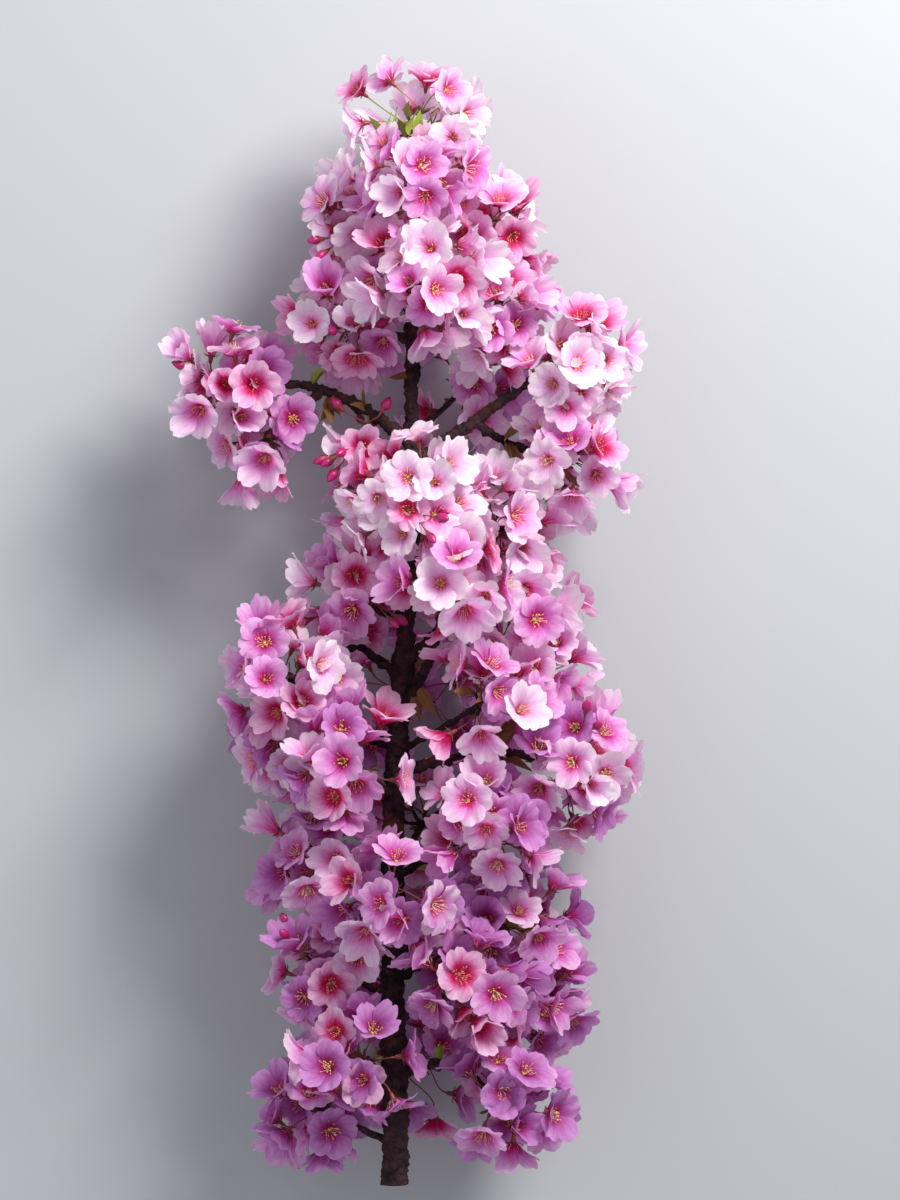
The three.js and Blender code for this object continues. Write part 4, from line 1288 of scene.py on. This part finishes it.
stalks, spurs, scaleSpots = {"stalksGreen": [], "stalksRed": []}, [], []
for name in masses:
    hub, shape = plots[name]["hub"], sprayShape
    kind = "stalksGreen" if name in shape["green"] else "stalksRed"  # at the top they are still green
    for tip, members in spraysOf(name):
        reach = size(tip - hub)
        away = unit(tip - hub)
        wander = random.normal(size=3) * reach * shape["wander"]
        early, late = (hub + away * reach * share for share in shape["spurBends"])
        path = curveBetween(hub - away, early + wander, late + wander * shape["late"], tip, shape["points"])
        radii = np.linspace(shape["spurRadius"], shape["spurEnd"], len(path)) * random.uniform(*shape["widths"])
        radii[-1] *= shape["knob"]
        spurs.append((path, radii))
        scaleSpots.append((tip, away, random.uniform(0, 6.3), random.uniform(*shape["scales"]),
                           int(random.integers(len(scaleShapes.objects)))))
        for each in members:
            foot = each["foot"] - each["axis"] * shape["sunk"]
            run = size(foot - tip)
            early, late = (run * share for share in shape["stalkBends"])
            onward = unit(foot - tip + away * run * shape["onward"])
            path = curveBetween(tip, tip + onward * early, foot - each["axis"] * late, foot,
                                len(shape["stalkRadii"]))
            stalks[kind].append(tubeAlong(path, shape["stalkRadii"], shape["stalkSides"]))

for name, material in (("stalksGreen", stalkGreen), ("stalksRed", stalkSkin)):
    points, faces, _ = joined(stalks[name])
    finished(objectFrom(name, meshFrom(name, place(points), faces), material), "blossom")
finished(scatter("budScales", scaleShapes, scaleSpots, scaleSkin), "blossom")
budSpots = [(each["foot"], each["axis"], each["spin"], bud["size"], index % 4)
            for index, each in enumerate(budsFound + umbelBuds)]
finished(scatter("buds", budShapes, budSpots, budSkin), "blossom")
finished(scatter("budCups", budCupShapes, [(*spot[:4], 0) for spot in budSpots], calyxSkin), "blossom")
print("blossom made:", sum(map(len, stalks.values())), "stalks on", len(spurs), "spurs")


# Young leaves, green at the tip and bronze elsewhere.
leafSkin = {"ribPitch": 56, "ribSlant": 40, "ribEdge": 6, "ribShare": 0.25, "midrib": 22, "clouds": 5}


def leafMaterial(name, blade, rib, back):
    skin = leafSkin
    material, tree, shader = newMaterial(name, 0.5)
    uv = pieceUv(tree)
    along, across, _ = axesOf(uv)
    middle = abs(across - 0.5)
    side = abs(reckon("SINE", along * skin["ribPitch"] - middle * skin["ribSlant"])) ** skin["ribEdge"]
    lines = reckon("MAXIMUM", 1 - middle * skin["midrib"], side * skin["ribShare"])
    feed(shader.inputs["Base Color"], mixed(lines, mixed(noiseOf(uv, skin["clouds"]), blade, back), rib))
    bumpInto(shader, lines, 0.5, 0.0005)
    return material


leafGreen = leafMaterial("leafGreen", (0.19, 0.34, 0.03), (0.42, 0.5, 0.12), (0.32, 0.36, 0.05))
leafBronze = leafMaterial("leafBronze", (0.26, 0.075, 0.03), (0.4, 0.19, 0.08), (0.17, 0.15, 0.025))
leafSpots = {"leavesGreen": [], "leavesBronze": []}
for index, (kind, foot, axis, long) in enumerate(tuftLeaves):
    leafSpots[kind].append((foot, axis, random.uniform(0, 6.3), long, index % 6))
for name, material in (("leavesGreen", leafGreen), ("leavesBronze", leafBronze)):
    finished(scatter(name, leafShapes, leafSpots[name], material), "blossom")


# Bark: dark and knobbly, ringed across the limb, with orange-brown patches; its raised grain is painted lighter as
# painted highlight, and the hollows near black as painted shade.
barkLook = {
    "broad": 45, "patch": 48, "cells": 210, "crack": 5, "crackDepth": 0.22, "fineDepth": 0.7,
    "lift": (0.48, 0.78), "patchEdge": (0.7, 0.78), "smoothing": 0.2, "gloss": 0.25, "bump": (1.0, 0.0022),
}


def barkEffect():
    look = barkLook
    group, given, out = newEffect("barkSkin", ("Deep", "Ridge", "Patch"), {"Patch Share": 0.3, "Grain": 260})
    spot = objectSpot(group)
    fine = noiseOf(spot, given["Grain"], 6, 0.65)
    broad = noiseOf(spot, look["broad"], 4, 0.6)
    patches = noiseOf(spot, look["patch"], 3, 0.5)
    cells = addNode(group, "ShaderNodeTexVoronoi", {"Scale": look["cells"], "Vector": spot},
                    feature="DISTANCE_TO_EDGE")
    cracks = reckon("MINIMUM", Signal(cells, "Distance") * look["crack"], 1)
    # The raised grain takes the lighter Ridge colour as a painted highlight, and the rest takes the near-black
    # Deep colour as painted shade, over the bark's own dark purple-brown.
    lifted = ramp(fine * 0.6 + broad * 0.6, *look["lift"])
    shown = ramp(patches + given["Patch Share"] * 0.4, *look["patchEdge"]) * (0.35 + fine * 0.7)
    feed(out["Color"], mixed(shown, mixed(lifted, given["Deep"], given["Ridge"]), given["Patch"]))
    feed(out["Relief"], fine * look["fineDepth"] + cracks * look["crackDepth"])
    feed(out["Roughness"], 1 - lifted * look["smoothing"])
    return group


barkSkin = barkEffect()


def barkMaterial(name, deep, ridge, patch, share, grain):
    values = {"Deep": deep, "Ridge": ridge, "Patch": patch, "Patch Share": share, "Grain": grain}
    return effectMaterial(name, barkSkin, values, 0.9, barkLook["gloss"], barkLook["bump"])[0]


oldBark = barkMaterial("oldBark", (0.007, 0.0025, 0.0035), (0.066, 0.032, 0.038), (0.13, 0.044, 0.018), 0.3, 150)
twigBark = barkMaterial("twigBark", (0.01, 0.004, 0.004), (0.085, 0.042, 0.04), (0.13, 0.06, 0.03), 0.2, 500)

# The sawn end: growth rings round the middle of the leader, and a darker heart.
sawnLook = {"wobble": 220, "wobbleDepth": 0.0007, "ringPitch": 6500, "heart": (0.0012, 0.0058), "fibres": 1500}


def sawnMaterial():
    look = sawnLook
    material, tree, shader = newMaterial("sawnWood", 0.75)
    spot = objectSpot(tree)
    middle = place(leaderPoint(leader["start"]))
    centred = addNode(tree, "ShaderNodeMapping", {"Location": (-middle[0], 0, -middle[2]), "Vector": spot})
    across, _, up = axesOf(Signal(centred))
    far = reckon("SQRT", across ** 2 + up ** 2)
    way = far + noiseOf(spot, look["wobble"]) * look["wobbleDepth"]
    rings = 0.5 + reckon("SINE", way * look["ringPitch"]) * 0.5
    toned = mixed(rings, (0.52, 0.3, 0.15), (0.66, 0.43, 0.25))
    feed(shader.inputs["Base Color"], mixed(ramp(way, *look["heart"], 1, 0), toned, (0.3, 0.13, 0.07)))
    bumpInto(shader, rings + noiseOf(spot, look["fibres"]), 0.4, 0.0003)
    return material


sawnWood = sawnMaterial()

barkShape = {
    "row": 1.3, "limbRow": 1.2, "twigRow": 1.7, "lump": 2.1, "lumpSize": 6.0, "grain": 1.2, "grainSize": 2.3,
    "ring": 1.1, "ringPitch": 4.2, "knobEvery": 5, "knobHeight": 2.4, "knobWidth": 3.0, "sunk": 0.9,
    "wanderSize": 14, "brokenSize": 5, "fullRadius": 5, "tip": 0.55, "leaderSides": 36, "limbSides": 22,
    "twigSides": 10, "spurSides": 6, "twigStrength": 0.8, "twigSag": 0.025, "twigSwell": 0.9, "twigSwellReach": 5,
}


def barkTube(path, radii, sides, seed, strength=1.0, knobs=True, sawn=False):
    shape = barkShape
    path, radii = np.asarray(path, float), np.asarray(radii, float)
    picks = np.random.default_rng(seed)
    tangents = unit(np.gradient(path, axis=0))
    if sawn:
        tangents[:] = np.array([0, 1.0, 0])
    lengths = np.concatenate([[0], np.cumsum(size(np.diff(path, axis=0)))])
    normals, points = ringsAlong(path, tangents, radii, sides)
    relief = np.zeros(points.shape[:2])
    for row in range(len(path)):
        wander = 2 * noise.noise(Vector(path[row]) / shape["wanderSize"])
        ring = max(0, math.sin(2 * math.pi * lengths[row] / shape["ringPitch"] + wander))
        for side in range(sides):
            at = Vector(points[row, side])
            broken = 0.5 + 0.5 * noise.noise(at / shape["brokenSize"])
            relief[row, side] = (shape["lump"] * noise.noise(at / shape["lumpSize"])
                                 + shape["grain"] * noise.noise(at / shape["grainSize"])
                                 + shape["ring"] * ring * broken - shape["sunk"])
    relief *= np.minimum(1, radii / shape["fullRadius"])[:, None] * strength
    for _ in range(int(lengths[-1] / shape["knobEvery"]) if knobs else 0):
        row = int(picks.integers(2, max(3, len(path) - 2)))
        knob = points[row, int(picks.integers(sides))]
        slim = min(1, radii[row] / 4)
        tall = shape["knobHeight"] * picks.uniform(0.5, 1.2) * slim
        wide = shape["knobWidth"] * picks.uniform(0.7, 1.2) * slim
        relief += tall * np.exp(-((size(points - knob) / wide) ** 2))
    points = points + normals * relief[..., None]
    points[-1] = path[-1] + (points[-1] - path[-1]) * shape["tip"]
    flat = np.concatenate([points.reshape(-1, 3), [points[0].mean(axis=0)], [points[-1].mean(axis=0)]])
    faces = ringFaces(len(path) - 1, sides)
    last = (len(path) - 1) * sides
    capStart, capEnd = len(faces), len(faces) + sides
    faces += [(len(flat) - 2, (side + 1) % sides, side) for side in range(sides)]
    faces += [(len(flat) - 1, last + side, last + (side + 1) % sides) for side in range(sides)]
    return flat, faces, (capStart, capEnd)


def barkPiece(name, path, radii, sides, seed, node, materials=(oldBark,), **how):
    points, faces, cap = barkTube(path, radii, sides, seed, **how)
    mesh = meshFrom(name, place(points), faces)
    made = objectFrom(name, mesh, *materials)
    if len(materials) > 1:
        for index in range(*cap):
            mesh.polygons[index].material_index = 1
            mesh.polygons[index].use_smooth = False
    print(name, "has", trianglesIn(mesh), "triangles")
    return finished(made, "bark", node)


rowCount = int((leader["length"] - leader["start"]) / barkShape["row"])
alongs = np.linspace(leader["start"], leader["length"], rowCount)
barkPiece("leaderBark", [leaderPoint(along) for along in alongs], [leaderRadius(along) for along in alongs],
          barkShape["leaderSides"], seeds["leader"], "leader", (oldBark, sawnWood), sawn=True)
for order, (name, limb) in enumerate(limbs.items()):
    whole = size(limbPoint(limb, 0) - limbPoint(limb, 1))
    shares = np.linspace(0.02, 1, int(whole / barkShape["limbRow"]))
    barkPiece(name + "_bark", [limbPoint(limb, share) for share in shares],
              [limbRadius(limb, share) for share in shares], barkShape["limbSides"], seeds["limbs"] + order,
              name)

twigParts = []
for order, (name, mass) in enumerate(masses.items()):
    root, hub = twigRoot(mass), plots[name]["hub"]
    far = size(hub - root)
    sag = random.normal(size=3) * barkShape["twigSag"] * far
    path = curveBetween(root, root + (hub - root) * 0.33 + sag, root + (hub - root) * 0.67 + sag, hub,
                        int(far / barkShape["twigRow"]))
    radii = np.linspace(growth["twigBase"], growth["twigEnd"], len(path))
    away = (np.linspace(0, far, len(path)) - leaderRadius(root[1])) / barkShape["twigSwellReach"]
    radii += barkShape["twigSwell"] * np.exp(-away ** 2)
    twigParts.append(barkTube(path, radii, barkShape["twigSides"], seeds["twigs"] + order,
                              barkShape["twigStrength"])[:2])
for order, (path, radii) in enumerate(spurs):
    twigParts.append(barkTube(path, radii, barkShape["spurSides"], seeds["spurs"] + order,
                              barkShape["twigStrength"], knobs=False)[:2])
points, faces, _ = joined(twigParts)
piece = finished(objectFrom("twigs", meshFrom("twigs", place(points), faces), twigBark), "bark")
print("wood made:", len(twigParts), "twigs and spurs,", trianglesIn(piece.data), "triangles")

for kept in list(bpy.data.collections):
    if kept.name.endswith("Form"):
        for shape in list(kept.objects):
            bpy.data.objects.remove(shape)
        bpy.data.collections.remove(kept)

# Floor, light and camera.

studio = {
    "floor": 30, "keyPower": 48, "keySize": 0.7, "keyPlace": (0.8, 1.15, 1.2), "keyAim": (0, 0.12, 0.08),
    "keyColour": (1, 0.99, 0.97), "fillPower": 12, "fillSize": 2.4, "fillPlace": (-1.6, -0.2, 1.5),
    "fillAim": (0, 0, 0.08), "fillColour": (0.92, 0.94, 1), "world": 0.44, "worldColour": (0.9, 0.94, 1, 1),
    "floorColour": (0.44, 0.45, 0.47, 1),
}
corners = np.array([(-1, -1, 0), (1, -1, 0), (1, 1, 0), (-1, 1, 0)]) * studio["floor"] / 2
floorMaterial, _, floorShader = newMaterial("paleFloor", 0.85)
floorShader.inputs["Base Color"].default_value = studio["floorColour"]
objectFrom("floor", meshFrom("floor", corners, [(0, 1, 2, 3)]), floorMaterial)
for kind in ("key", "fill"):
    light = bpy.data.lights.new(kind + "Light", "AREA")
    light.energy, light.size = studio[kind + "Power"], studio[kind + "Size"]
    light.color = studio[kind + "Colour"]
    lamp = bpy.data.objects.new(kind + "Light", light)
    lamp.location = studio[kind + "Place"]
    aim = Vector(studio[kind + "Aim"]) - Vector(studio[kind + "Place"])
    lamp.rotation_euler = aim.to_track_quat("-Z", "Y").to_euler()
    bpy.context.scene.collection.objects.link(lamp)
world = bpy.data.worlds.new("studio")
world.use_nodes = True
world.node_tree.nodes["Background"].inputs["Color"].default_value = studio["worldColour"]
world.node_tree.nodes["Background"].inputs["Strength"].default_value = studio["world"]
bpy.context.scene.world = world
bpy.context.scene.view_settings.view_transform = "Standard"

view = {"height": 0.79, "above": 4.0, "middle": (35, 371, 0), "sensor": 36}
camera = bpy.data.cameras.new("camera")
camera.sensor_fit = "VERTICAL"
camera.sensor_height = view["sensor"]
camera.lens = view["sensor"] * view["above"] / view["height"]
eye = bpy.data.objects.new("camera", camera)
eye.location = (*place(view["middle"])[:2], view["above"] + leader["lift"] / 1000)
bpy.context.scene.collection.objects.link(eye)
bpy.context.scene.camera = eye
